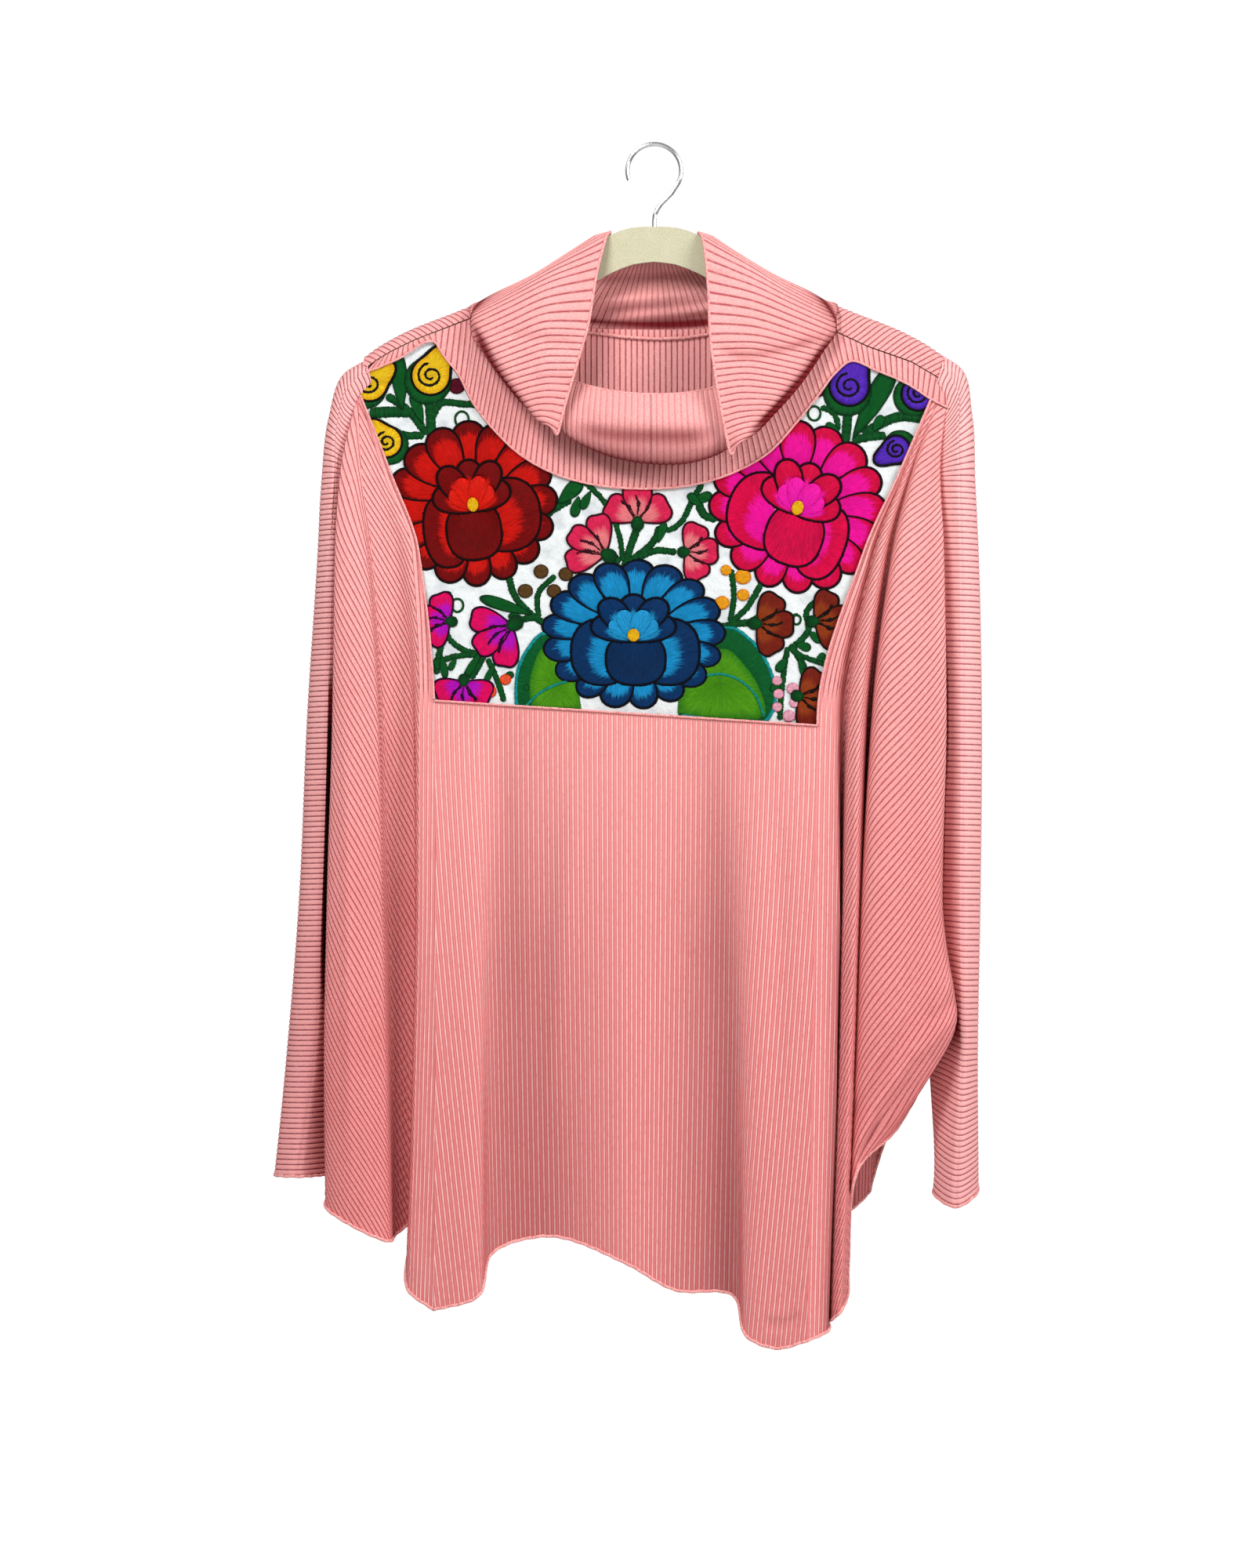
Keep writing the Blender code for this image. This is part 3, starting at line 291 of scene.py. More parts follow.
# Painted shade: how much darker the cloth is at each fold line: 1 in the depth of a closed fold.
SHADES = {
    "side_left": 0.5, "wing_ridge_left": 0.05, "wing_fold_left": 0.5, "wing_valley_left": 0.4,
    "body_edge_left": 0.15, "lobe_foot_left": 0.4, "centre_valley": 0.5, "centre_step": 0.3,
    "lobe_foot_right": 0.5,
    "body_edge_right": 0.6, "strip_valley": 1.0, "strip_ridge": 0.0, "wing_valley_right": 1.0,
    "wing_start_right": 0.25, "side_right": 0.5, "body_valley_left": 0.5, "body_valley_right": 0.5,
    "strip_valley_right": 0.6,
}
SHADE_START = (200.0, 560.0)  # drops between which these shades set in
SEAM_DEPTH = 0.9  # how far the seam along a sleeve draws the cloth in
# Painted shade: how much darker the collar is, by its share of the way from seam to rim.
COLLAR_SHADES = ((0, 0.7), (0.2, 0.2), (0.33, 0.95), (0.4, 0.5), (0.5, 0.15), (0.6, 0.0), (1, 0.0))
# Painted shade where the pouch's ends are tucked in.
TUCK_SHADE = 0.75  # where the pouch's ends are tucked in
# The upper edge of the hanger's arm as x and drop, and its line beyond the tip.
HANGER_TOP = (
    (0, 0), (18, 1), (34, 6.5), (60, 24), (90, 43), (120, 56), (156, 70), (190, 83.5), (212, 95.5),
)
BEYOND_TIP = ((226, 106), (240, 118))

# A piece's shade is painted shade; its soft says how far the painted shade in its grooves is softened.
Piece = namedtuple("Piece", "grid rib shade flip plain soft", defaults=(0.0, 0.0))


def smooth_between(stations, values, at):
    """Values at stations, joined by a monotone cubic, so that nothing overshoots."""
    stations = np.asarray(stations, float)
    values = np.asarray(values, float)
    if values.ndim == 1:
        return smooth_between(stations, values[:, None], at)[..., 0]
    gaps = np.diff(stations)[:, None]
    slopes = np.diff(values, axis=0) / gaps
    before, after = slopes[:-1], slopes[1:]
    same_way = before * after > 0
    mean = np.where(same_way, 2 * before * after / np.where(same_way, before + after, 1), 0)
    tangents = np.vstack([slopes[:1], mean, slopes[-1:]])
    at = np.clip(np.asarray(at, float), stations[0], stations[-1])
    index = np.clip(np.searchsorted(stations, at, side="right") - 1, 0, len(gaps) - 1)
    gap = gaps[index]
    t = (at[..., None] - stations[index][..., None]) / gap
    return (
        values[index] * (1 + 2 * t) * (1 - t) ** 2
        + tangents[index] * gap * t * (1 - t) ** 2
        + values[index + 1] * t * t * (3 - 2 * t)
        - tangents[index + 1] * gap * t * t * (1 - t)
    )


def through(points, steps, closed=False):
    """Rows of points, each joined by a rounded curve, with steps[i] columns after point i."""
    p = np.asarray(points, float)
    count = p.shape[1]
    if closed:
        ring = np.concatenate([p[:, -1:], p, p[:, :2]], axis=1)
    else:
        ring = np.concatenate([2 * p[:, :1] - p[:, 1:2], p, 2 * p[:, -1:] - p[:, -2:-1]], axis=1)
    gaps = np.diff(ring, axis=1)
    lengths = np.linalg.norm(gaps, axis=2)[..., None] + 1e-6
    made = []
    for i in range(count if closed else count - 1):
        before, here, after = lengths[:, i], lengths[:, i + 1], lengths[:, i + 2]
        leave = (gaps[:, i] / before * here + gaps[:, i + 1] / here * before) / (before + here) * here
        arrive = (gaps[:, i + 1] / here * after + gaps[:, i + 2] / after * here) / (here + after) * here
        t = (np.arange(steps[i]) / steps[i])[None, :, None]
        made.append(
            ring[:, i + 1:i + 2] * (1 + 2 * t) * (1 - t) ** 2
            + leave[:, None] * t * (1 - t) ** 2
            + ring[:, i + 2:i + 3] * t * t * (3 - 2 * t)
            - arrive[:, None] * t * t * (1 - t)
        )
    if not closed:
        made.append(p[:, -1:])
    return np.concatenate(made, axis=1)


def along(points, steps):
    """One rounded curve through points, with steps from each one to the next."""
    points = np.asarray(points, float)
    return through(points[None], [steps] * (len(points) - 1))[0]


def far_along(line):
    """How far each point of a line lies along it."""
    gaps = np.linalg.norm(np.diff(line, axis=0), axis=1)
    return np.concatenate([[0], np.cumsum(gaps)])


def placed(line, far, at):
    """The points of a line at given distances along it, where far is each point's own."""
    return np.stack([np.interp(at, far, column) for column in line.T], axis=1)


def resample(rows, count):
    """Each row of points again, with count points evenly spaced along it."""
    gaps = np.linalg.norm(np.diff(rows, axis=1), axis=2)
    far = np.concatenate([np.zeros((len(rows), 1)), np.cumsum(gaps, axis=1)], axis=1)
    both = zip(rows, far)
    return np.array([placed(row, reach, np.linspace(0, reach[-1], count)) for row, reach in both])


def arc(rows):
    """How far each point of a row lies along it."""
    gaps = np.linalg.norm(np.diff(rows[..., :3], axis=1), axis=2)
    return np.concatenate([np.zeros((len(rows), 1)), np.cumsum(gaps, axis=1)], axis=1)


def world(grid):
    """Points of x, depth and drop as world metres."""
    return np.stack([grid[..., 0], grid[..., 1], -(NECK_DROP + grid[..., 2])], axis=-1) * MM


def line_values(lines, drops, field):
    """x or depth of each line at each drop."""
    columns = []
    for line, drop in zip(lines, drops.T):
        values = getattr(line, field)
        columns.append(smooth_between(LEVELS[-len(values):], values, drop))
    return np.stack(columns, axis=1)


def line_index(lines, name):
    """The place of a named line in its table."""
    return [line.name for line in lines].index(name)


def named(lines, name):
    """The line of that name."""
    return lines[line_index(lines, name)]


def hem_of_yoke(x):
    """The drop of the seam under the yoke at x."""
    (x0, d0), (x1, d1) = YOKE_BOTTOM_LEFT, YOKE_BOTTOM_RIGHT
    return d0 + (d1 - d0) * np.clip((np.asarray(x, float) - x0) / (x1 - x0), 0, 1)


def closed_below(lines, drops, x, depth, back):
    """The right wing's faces curve in to the underarm seam above their lower edge."""
    seam = UNDERARM_SEAM_DEPTH + (UNDERARM_SEAM_GAP if back else -UNDERARM_SEAM_GAP)
    for i, line in enumerate(lines):
        if line.name not in ("wing_face_right", "wing_edge_right"):
            continue
        reach = np.clip((drops[:, i] - line.bottom + UNDERARM_ROUNDING) / UNDERARM_ROUNDING, 0, 1)
        depth[:, i] = seam + (depth[:, i] - seam) * np.sqrt(1 - reach**2)
        inward = min(UNDERARM_SEAM_X, line.x[-1])
        x[:, i] = inward + (x[:, i] - inward) * (1 - reach**2)
    return x, depth


def panel(lines, tops, rows, back=False):
    """A panel's rows of points, from its fold lines, each from its own top to its own bottom."""
    bottoms = np.array([line.bottom for line in lines], float)
    share = np.linspace(0, 1, rows)[:, None]
    drops = np.asarray(tops, float)[None, :] * (1 - share) + bottoms[None, :] * share
    x = line_values(lines, drops, "x")
    depth = line_values(lines, drops, "depth")
    x, depth = closed_below(lines, drops, x, depth, back)
    # Painted shade at each fold line, fading in between the drops of SHADE_START.
    fade = np.clip((drops - SHADE_START[0]) / (SHADE_START[1] - SHADE_START[0]), 0, 1) ** 0.7
    shade = np.array([SHADES.get(line.name, 0.0) for line in lines])[None, :] * fade
    points = np.stack([x, depth, drops, shade], axis=2)
    return through(points, [line.steps * (BACK_FINE if back else FINE) for line in lines])


def rib_form(rib):
    """How high a broad rib stands, from 0 in the narrow groove to 1."""
    valley = 0.5 + 0.5 * np.cos(2 * np.pi * rib)
    return 1 - valley**2


def ridge_form(rib):
    """How high a narrow ridge stands on the plain ground between."""
    return (0.5 + 0.5 * np.cos(2 * np.pi * rib)) ** 2


def shade_of(rows):
    """The painted shade that the fold lines gave each point."""
    return np.clip(rows[..., 3], 0, 1) ** 1.7


def line_distance(x, drop, line):
    """How far points lie from a line of x and drop, and where along it the nearest place is."""
    line = np.asarray(line, float)
    lengths = np.hypot(*np.diff(line, axis=0).T)
    best = np.full(x.shape, np.inf)
    share = np.zeros(x.shape)
    done = 0.0
    for start, end, long in zip(line[:-1], line[1:], lengths):
        way = (end - start) / long
        t = np.clip((x - start[0]) * way[0] + (drop - start[1]) * way[1], 0, long)
        away = np.hypot(x - start[0] - way[0] * t, drop - start[1] - way[1] * t)
        nearer = away < best
        best = np.where(nearer, away, best)
        share = np.where(nearer, (done + t) / lengths.sum(), share)
        done += long
    return best, share


Crease = namedtuple("Crease", "line width depth shade")


def creased(grid, shade, table, where=1.0):
    """Cloth with soft troughs, or ridges where depth is negative, along lines that fade at both ends;
    each adds its painted shade, or takes some away where that is negative.
    """
    grid = grid.copy()
    for fold in table:
        curve = along(fold.line, 6)
        away, share = line_distance(grid[..., 0], grid[..., 2], curve)
        ends = np.clip(np.minimum(share, 1 - share) / 0.22 + 0.1, 0, 1)
        swell = np.exp(-((away / fold.width) ** 2)) * ends * where
        grid[..., 1] += fold.depth * swell
        shade = shade + fold.shade * swell
    return grid, np.clip(shade, 0, 1)


def quads_of(rows, columns, start=0, closed=False):
    """The corners of the faces between rows and columns of points."""
    index = start + np.arange(rows * columns).reshape(rows, columns)
    if closed:
        index = np.concatenate([index, index[:, :1]], axis=1)
    corners = [index[:-1, :-1], index[:-1, 1:], index[1:, 1:], index[1:, :-1]]
    return np.stack(corners, axis=-1).reshape(-1, 4)


def halves(quads):
    """Faces with four corners as twice as many with three."""
    return np.concatenate([quads[:, [0, 1, 2]], quads[:, [0, 2, 3]]])


def normals_of(points):
    """Unit normals of a grid of points."""
    across = np.gradient(points, axis=1)
    down = np.gradient(points, axis=0)
    normal = np.cross(across, down)
    return normal / np.maximum(np.linalg.norm(normal, axis=2), 1e-12)[..., None]


def mesh_piece(name, parts, stuff, closed=False, lift=RIB_LIFT, form=rib_form):
    """One mesh from grids of table points, with its ribs raised and kept as attributes."""
    verts, faces = [], []
    kept = {"rib": [], "shade": [], "plain": [], "soft": []}
    start = 0
    for part in parts:
        points = world(part.grid)
        rows, columns = points.shape[:2]
        if closed:
            wrapped = np.concatenate([points[:, -2:], points, points[:, :2]], axis=1)
            normal = normals_of(wrapped)[:, 2:-2]
        else:
            normal = normals_of(points)
        if part.flip:
            normal = -normal
        raised = form(part.rib) * lift * MM
        if not closed:
            raised[:, [0, -1]] = 0
        points = points + normal * raised[..., None]
        quads = quads_of(rows, columns, start, closed)
        verts.append(points.reshape(-1, 3))
        faces.append(quads if part.flip else quads[:, ::-1])
        for key, values in kept.items():
            values.append(np.broadcast_to(getattr(part, key), (rows, columns)).reshape(-1))
        start += rows * columns
    made = build(name, np.concatenate(verts), np.concatenate(faces), stuff)
    for key, values in kept.items():
        put(made, key, np.concatenate(values))
    return made


def build(name, verts, faces, stuff):
    """A mesh object from arrays of corners and of faces with one number of corners."""
    mesh = bpy.data.meshes.new(name)
    sides = faces.shape[1]
    mesh.vertices.add(len(verts))
    mesh.vertices.foreach_set("co", np.ascontiguousarray(verts, np.float32).ravel())
    mesh.loops.add(faces.size)
    mesh.loops.foreach_set("vertex_index", np.ascontiguousarray(faces, np.int32).ravel())
    mesh.polygons.add(len(faces))
    mesh.polygons.foreach_set("loop_start", np.arange(0, faces.size, sides, dtype=np.int32))
    mesh.update(calc_edges=True)
    mesh.validate()
    mesh.polygons.foreach_set("use_smooth", np.full(len(mesh.polygons), True))
    mesh.materials.append(stuff)
    made = bpy.data.objects.new(name, mesh)
    bpy.context.scene.collection.objects.link(made)
    return made


def put(made, name, values):
    """Keeps a number for each corner of a mesh as an attribute."""
    kept = made.data.attributes.new(name, "FLOAT", "POINT")
    kept.data.foreach_set("value", np.ascontiguousarray(values, np.float32))


def settle(made, node):
    """The piece rides on the body and stands for a CAD node, where it has one."""
    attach(made, "root")
    if node:
        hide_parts(node)
    return made


def tube(name, lines, radius, stuff):
    """Round threads of the given radius along lines of table points."""
    verts, faces = [], []
    start = 0
    for line in lines:
        centre = world(np.asarray(line, float))
        ahead = np.gradient(centre, axis=0)
        ahead /= np.maximum(np.linalg.norm(ahead, axis=1), 1e-12)[:, None]
        side = np.cross(ahead, [0.0, -1.0, 0.0])
        weak = np.linalg.norm(side, axis=1) < 0.05
        side[weak] = np.cross(ahead[weak], [1.0, 0.0, 0.0])
        side /= np.linalg.norm(side, axis=1)[:, None]
        up = np.cross(side, ahead)
        turn = np.arange(TUBE_SIDES) / TUBE_SIDES * 2 * np.pi
        ring = (
            centre[:, None]
            + side[:, None] * (np.cos(turn) * radius * MM)[None, :, None]
            + up[:, None] * (np.sin(turn) * radius * MM)[None, :, None]
        )
        verts.append(ring.reshape(-1, 3))
        faces.append(quads_of(len(centre), TUBE_SIDES, start, closed=True))
        start += len(centre) * TUBE_SIDES
    return build(name, np.concatenate(verts), np.concatenate(faces), stuff)


def rolled(line, radius, wave, length=7.0, seed=1):
    """The middle line of a rolled edge, a little wavy, from the edge's points."""
    line = np.asarray(line, float)[:, :3]
    far = far_along(line)
    at = np.linspace(0, far[-1], max(8, int(far[-1] / 1.1)))
    even_line = placed(line, far, at)
    rough = np.random.default_rng(seed)
    turn = at / length * 2 * np.pi + rough.uniform(0, 6.28) + 1.3 * np.sin(at / 31.0)
    even_line[:, 1] += wave * np.sin(turn)
    even_line[:, 2] += wave * 0.6 * np.sin(turn * 0.62 + 1.0) + radius * 0.2
    return even_line


def nodes_of(name):
    """A new material and its parts."""
    made = bpy.data.materials.new(name)
    made.use_nodes = True
    tree = made.node_tree
    shader = tree.nodes["Principled BSDF"]
    return made, tree, shader


def dressed(tree, shader, tone, normal, rough, gloss=None):
    """Gives a material its colour, its bump and an even roughness and gloss."""
    tree.links.new(tone, shader.inputs["Base Color"])
    tree.links.new(normal, shader.inputs["Normal"])
    shader.inputs["Roughness"].default_value = rough
    if gloss is not None:
        shader.inputs["Specular IOR Level"].default_value = gloss


def node(tree, kind, **values):
    """A node with values in its named sockets."""
    made = tree.nodes.new(kind)
    for key, value in values.items():
        made.inputs[key].default_value = value
    return made


def maths(tree, operation, first, second=None):
    """A Math node on sockets or numbers."""
    made = tree.nodes.new("ShaderNodeMath")
    made.operation = operation
    for socket, value in zip(made.inputs, (first, second)):
        if isinstance(value, (int, float)):
            socket.default_value = value
        elif value is not None:
            tree.links.new(value, socket)
    return made.outputs[0]


def times(tree, first, second):
    """The product of two sockets or numbers."""
    return maths(tree, "MULTIPLY", first, second)


def rest_of(tree, value):
    """What a socket leaves of 1."""
    return maths(tree, "SUBTRACT", 1.0, value)


def ranged(tree, value, low, high, to_low=0.0, to_high=1.0):
    """value from low to high, as a number from to_low to to_high."""
    made = tree.nodes.new("ShaderNodeMapRange")
    made.interpolation_type = "SMOOTHSTEP"
    for key, number in (("From Min", low), ("From Max", high), ("To Min", to_low), ("To Max", to_high)):
        made.inputs[key].default_value = number
    tree.links.new(value, made.inputs["Value"])
    return made.outputs["Result"]


def blended(tree, share, first, second, blend="MIX"):
    """Two colours, mixed by share, or multiplied by that much. Each can be a socket or a value."""
    made = tree.nodes.new("ShaderNodeMix")
    made.data_type = "RGBA"
    made.blend_type = blend
    for key, value in ((0, share), (6, first), (7, second)):
        if isinstance(value, (int, float)):
            made.inputs[key].default_value = value
        elif isinstance(value, tuple):
            made.inputs[key].default_value = (*value, 1)
        else:
            tree.links.new(value, made.inputs[key])
    return made.outputs[2]


def noise(tree, scale, detail=2.0, vector=None, rough=0.5):
    """A noise from 0 to 1, by object place or by the vector given."""
    made = node(tree, "ShaderNodeTexNoise", Scale=scale, Detail=detail, Roughness=rough)
    tree.links.new(vector or object_place(tree), made.inputs["Vector"])
    return made.outputs["Fac"]


def object_place(tree):
    """The object place of a point."""
    return tree.nodes.new("ShaderNodeTexCoord").outputs["Object"]


def attribute(tree, name, kind="Fac"):
    """A number or colour kept on the mesh."""
    made = tree.nodes.new("ShaderNodeAttribute")
    made.attribute_name = name
    return made.outputs[kind]


def bump(tree, height, distance, strength=1.0, under=None):
    """A bump normal from a height."""
    made = node(tree, "ShaderNodeBump", Distance=distance, Strength=strength)
    tree.links.new(height, made.inputs["Height"])
    if under is not None:
        tree.links.new(under, made.inputs["Normal"])
    return made.outputs["Normal"]


# Each knit tone is given low down and high up: the paler high tones are painted light, as the top is lit
# more.
KNIT_LIGHT = ((0.93, 0.36, 0.35), (0.98, 0.52, 0.50))  # low down, and high up
KNIT_MID = ((0.75, 0.20, 0.20), (0.84, 0.31, 0.30))
# Painted shade in the grooves between ribs; the sleeves' copies differ, darker on the left.
KNIT_GROOVE_SHADE = (0.40, 0.075, 0.09)
SLEEVE_GROOVE_SHADE = {"left": (0.30, 0.05, 0.07), "right": (0.42, 0.10, 0.12)}
# Painted light: the share of a pale tone that lightens each sleeve's knit, more on the right one.
SLEEVE_PAINTED_LIGHT = {"left": 0.3, "right": 0.45}  # share of the pale tone
KNIT_PAINTED_LIGHT = (1.0, 0.62, 0.60)
# Painted shade beside the narrow ridges of plain knit, and a painted highlight along them.
KNIT_SHADE_BESIDE_RIDGES = (0.50, 0.09, 0.10)  # beside the narrow ridges
KNIT_RIDGE_HIGHLIGHT = (0.98, 0.56, 0.53)
# Painted shade: the tone the knit is multiplied by in folds, and a near-black painted shadow in gaps.
KNIT_SHADE = (0.2, 0.035, 0.045)  # at a shade of 1
KNIT_GAP_SHADOW = (0.04, 0.04, 0.05)  # at a shade of 2
ROLL_YARN = ((0.95, 0.50, 0.47), (0.70, 0.22, 0.22))  # light and dark
COTTON = ((0.60, 0.63, 0.64), (0.80, 0.82, 0.81))
# Painted shade in the cotton's wrinkles.
COTTON_WRINKLE_SHADE = (0.42, 0.46, 0.50)
FLOCK = ((0.44, 0.42, 0.27), (0.68, 0.65, 0.46))
FLOCK_WORN = (0.62, 0.58, 0.44)
STEEL = ((0.62, 0.62, 0.64), (0.8, 0.8, 0.82))
FLOOR = ((0.9, 0.9, 0.9), (0.93, 0.93, 0.93))


def knit_material(name="rib_knit", deep=KNIT_GROOVE_SHADE, pale=0.0):
    """Rib knit, flecked: grooves between broad ribs painted dark as shade, or narrow ridges painted light
    as highlights, with painted shade beside them, where it is plain.
    """
    made, tree, shader = nodes_of(name)
    cycle = maths(tree, "FRACT", attribute(tree, "rib"))
    from_middle = maths(tree, "ABSOLUTE", maths(tree, "SUBTRACT", cycle, 0.5))
    fleck = noise(tree, 1300.0, 3.0, rough=0.7)
    uneven = noise(tree, 220.0, 2.0)
    split = node(tree, "ShaderNodeSeparateXYZ")
    tree.links.new(object_place(tree), split.inputs[0])
    # Painted light: the knit is blended from its low tones to its paler high tones by height.
    high = ranged(tree, split.outputs[2], -0.8, -0.2)
    light, mid = (blended(tree, high, *pair) for pair in (KNIT_LIGHT, KNIT_MID))
    tone = blended(tree, ranged(tree, fleck, 0.35, 0.68), mid, light)
    tone = blended(tree, ranged(tree, noise(tree, 14.0, 3.0), 0.35, 0.7, 0.0, 0.35), tone, mid)
    # Painted light: a sleeve's knit is lightened by its share of the pale tone.
    tone = blended(tree, pale, tone, KNIT_PAINTED_LIGHT)
    plain = attribute(tree, "plain")
    ribbed = rest_of(tree, plain)
    line = ranged(tree, from_middle, 0.27, 0.42)
    beside = times(tree, ranged(tree, from_middle, 0.12, 0.3), rest_of(tree, line))
    # Painted shade: plain knit is pulled towards the mid tone.
    tone = blended(tree, times(tree, plain, 0.8), tone, mid)
    # Painted shade beside the ridges of plain knit, stronger low down.
    beside_shade_by_height = ranged(tree, high, 0.2, 0.8, 0.6, 0.3)
    tone = blended(tree, times(tree, times(tree, beside, beside_shade_by_height), plain), tone, KNIT_SHADE_BESIDE_RIDGES)
    # Painted highlight along the ridges of plain knit, uneven.
    share = times(tree, line, ranged(tree, uneven, 0.2, 0.6, 0.5, 0.95))
    tone = blended(tree, times(tree, share, plain), tone, KNIT_RIDGE_HIGHLIGHT)
    # Painted shade in the grooves, uneven, and softened where the soft attribute says.
    groove = ranged(tree, from_middle, 0.30, 0.48)
    dark = times(tree, groove, ranged(tree, uneven, 0.2, 0.6, 0.62, 0.98))
    dark = times(tree, dark, rest_of(tree, attribute(tree, "soft")))
    tone = blended(tree, times(tree, dark, ribbed), tone, deep)
    # Painted shade in folds from the shade attribute, and above a shade of 1 a near-black painted shadow.
    shade = attribute(tree, "shade")
    tone = blended(tree, ranged(tree, shade, 0.0, 1.0), tone, KNIT_SHADE, "MULTIPLY")
    tone = blended(tree, ranged(tree, shade, 1.0, 2.0), tone, KNIT_GAP_SHADOW, "MULTIPLY")
    up = maths(tree, "SUBTRACT", times(tree, line, plain), times(tree, groove, ribbed))
    grain = bump(tree, fleck, 0.0005, 0.6)
    dressed(tree, shader, tone, bump(tree, up, 0.0007, 0.8, grain), 0.9, 0.08)
    return made


def edge_material():
    """The yarn of the rolled edges, with fine twisted strands."""
    made, tree, shader = nodes_of("edge_yarn")
    strands = noise(tree, 900.0, 2.0)
    light, dark = ROLL_YARN
    tone = blended(tree, ranged(tree, strands, 0.3, 0.7), dark, light)
    dressed(tree, shader, tone, bump(tree, strands, 0.0004, 0.7), 0.85, 0.1)
    return made


def cotton_material():
    """White cotton with a fine plain weave and soft wrinkles, painted darker in their hollows as shade.
    """
    made, tree, shader = nodes_of("white_cotton")
    wrinkle = noise(tree, 62.0, 3.0)
    weave = noise(tree, 2600.0, 1.0)
    tone = blended(tree, ranged(tree, weave, 0.3, 0.7), *COTTON)
    # Painted shade in the hollows of the wrinkles.
    tone = blended(tree, ranged(tree, wrinkle, 0.3, 0.5, 0.5, 0.0), tone, COTTON_WRINKLE_SHADE)
    fine = bump(tree, weave, 0.0002, 0.5)
    dressed(tree, shader, tone, bump(tree, wrinkle, 0.006, 0.7, fine), 0.85, 0.1)
    return made


def velvet_material():
    """Cream flock on the hanger, a little worn in patches."""
    made, tree, shader = nodes_of("cream_flock")
    pile = noise(tree, 1700.0, 2.0)
    worn = noise(tree, 60.0, 3.0)
    tone = blended(tree, ranged(tree, pile, 0.3, 0.7), *FLOCK)
    tone = blended(tree, ranged(tree, worn, 0.45, 0.7, 0.0, 0.4), tone, FLOCK_WORN)
    dressed(tree, shader, tone, bump(tree, pile, 0.0005, 0.8), 0.95)
    shader.inputs["Sheen Weight"].default_value = 0.4
    return made


def metal_material():
    """Polished steel wire with fine drawing lines and faint smears."""
    made, tree, shader = nodes_of("hook_steel")
    lines = noise(tree, 500.0, 2.0)
    tone = blended(tree, ranged(tree, lines, 0.3, 0.7), *STEEL)
    tree.links.new(tone, shader.inputs["Base Color"])
    smear = noise(tree, 90.0, 2.0)
    tree.links.new(ranged(tree, smear, 0.3, 0.7, 0.15, 0.34), shader.inputs["Roughness"])
    tree.links.new(bump(tree, lines, 0.0001, 0.3), shader.inputs["Normal"])
    shader.inputs["Metallic"].default_value = 1.0
    return made


def hanger_top(x):
    """The drop of the hanger's upper edge at x, past its tip too."""
    return smooth_between(*zip(*(HANGER_TOP + BEYOND_TIP)), np.abs(x))


def over_arm(x, degrees):
    """Depth and drop of cloth that lies round the hanger's arm: -90 is in front and 90 behind."""
    angle = np.radians(degrees)
    return WRAP_RADIUS * np.sin(angle), hanger_top(x) + WRAP_RADIUS * (1 - np.cos(angle)) - WRAP_LIFT


def shoulder_seam(x):
    """The drop of the seam along the shoulder, in front of the arm."""
    seam = np.interp(x, *zip(*SHOULDER_SEAM))
    return np.maximum(seam, over_arm(x, -90)[1] + 2)


def yoke_depth(drop):
    """Depth of the yoke: flat at the shoulders and standing forward below."""
    drop = np.asarray(drop, float)
    plain = smooth_between(LEVELS[:4], (-7, -11, -18, -31), drop)
    return np.where(drop < LEVELS[0], -7.0, plain)


def wing_ribs(rows, cots, spacing, sign=1):
    """Slanting ribs across a wing: cots says how steep they are from its left to its right."""
    far = arc(rows)
    share = far / far[:, -1:]
    steep = np.interp(share, np.linspace(0, 1, len(cots)), cots)
    gaps = np.diff(far, axis=1)
    falls = np.cumsum(gaps * (steep[:, 1:] + steep[:, :-1]) / 2, axis=1)
    fall = np.concatenate([np.zeros((len(rows), 1)), falls], axis=1)
    return (fall * sign - rows[..., 2]) / spacing


EDGES = {"hem": [], "turned": [], "rim": []}  # lines of the rolled hems and of the edges turned in


def front_body(stuff):
    """The body below the yoke."""
    left = line_index(FRONT, "yoke_side_left")
    right = line_index(FRONT, "yoke_side_right")
    lines = FRONT[left:right + 1]
    tops = hem_of_yoke([line.x[-4] for line in lines])
    rows = resample(panel(lines, tops, 112), 410)
    far = arc(rows)
    centre = np.array([np.interp(-21, row[:, 0], reach) for row, reach in zip(rows, far)])
    rib = (far - centre[:, None]) / BODY_PITCH
    rows, shade = creased(rows, shade_of(rows), BODY_CREASES)
    # Painted shade: the body is darker towards the bottom, as less light falls there.
    shade = shade + 0.15 * np.clip((rows[..., 2] - 420) / 380, 0, 1)
    EDGES["hem"].append(rows[-1])
    turned_edge(rows[0])
    return mesh_piece("front_body", [Piece(rows, rib, shade, False, 1.0)], stuff, form=ridge_form)


def below_yoke(rows):
    """1 where a wing's inner edge lies beside the body and looks as it does, and 0 beside the yoke."""
    return np.clip((rows[..., 2] - YOKE_BOTTOM_LEFT[1] + 10) / 20, 0, 1)


def columns_of(lines):
    """How many columns of a front panel lie between its first of these lines and the line after them."""
    return sum(line.steps * FINE for line in lines)


def turned_edge(line):
    """Keeps the line of an edge that is turned in, just in front of the cloth."""
    edge = line[:, :3].copy()
    edge[:, 1] -= TURNED_RADIUS
    EDGES["turned"].append(edge)


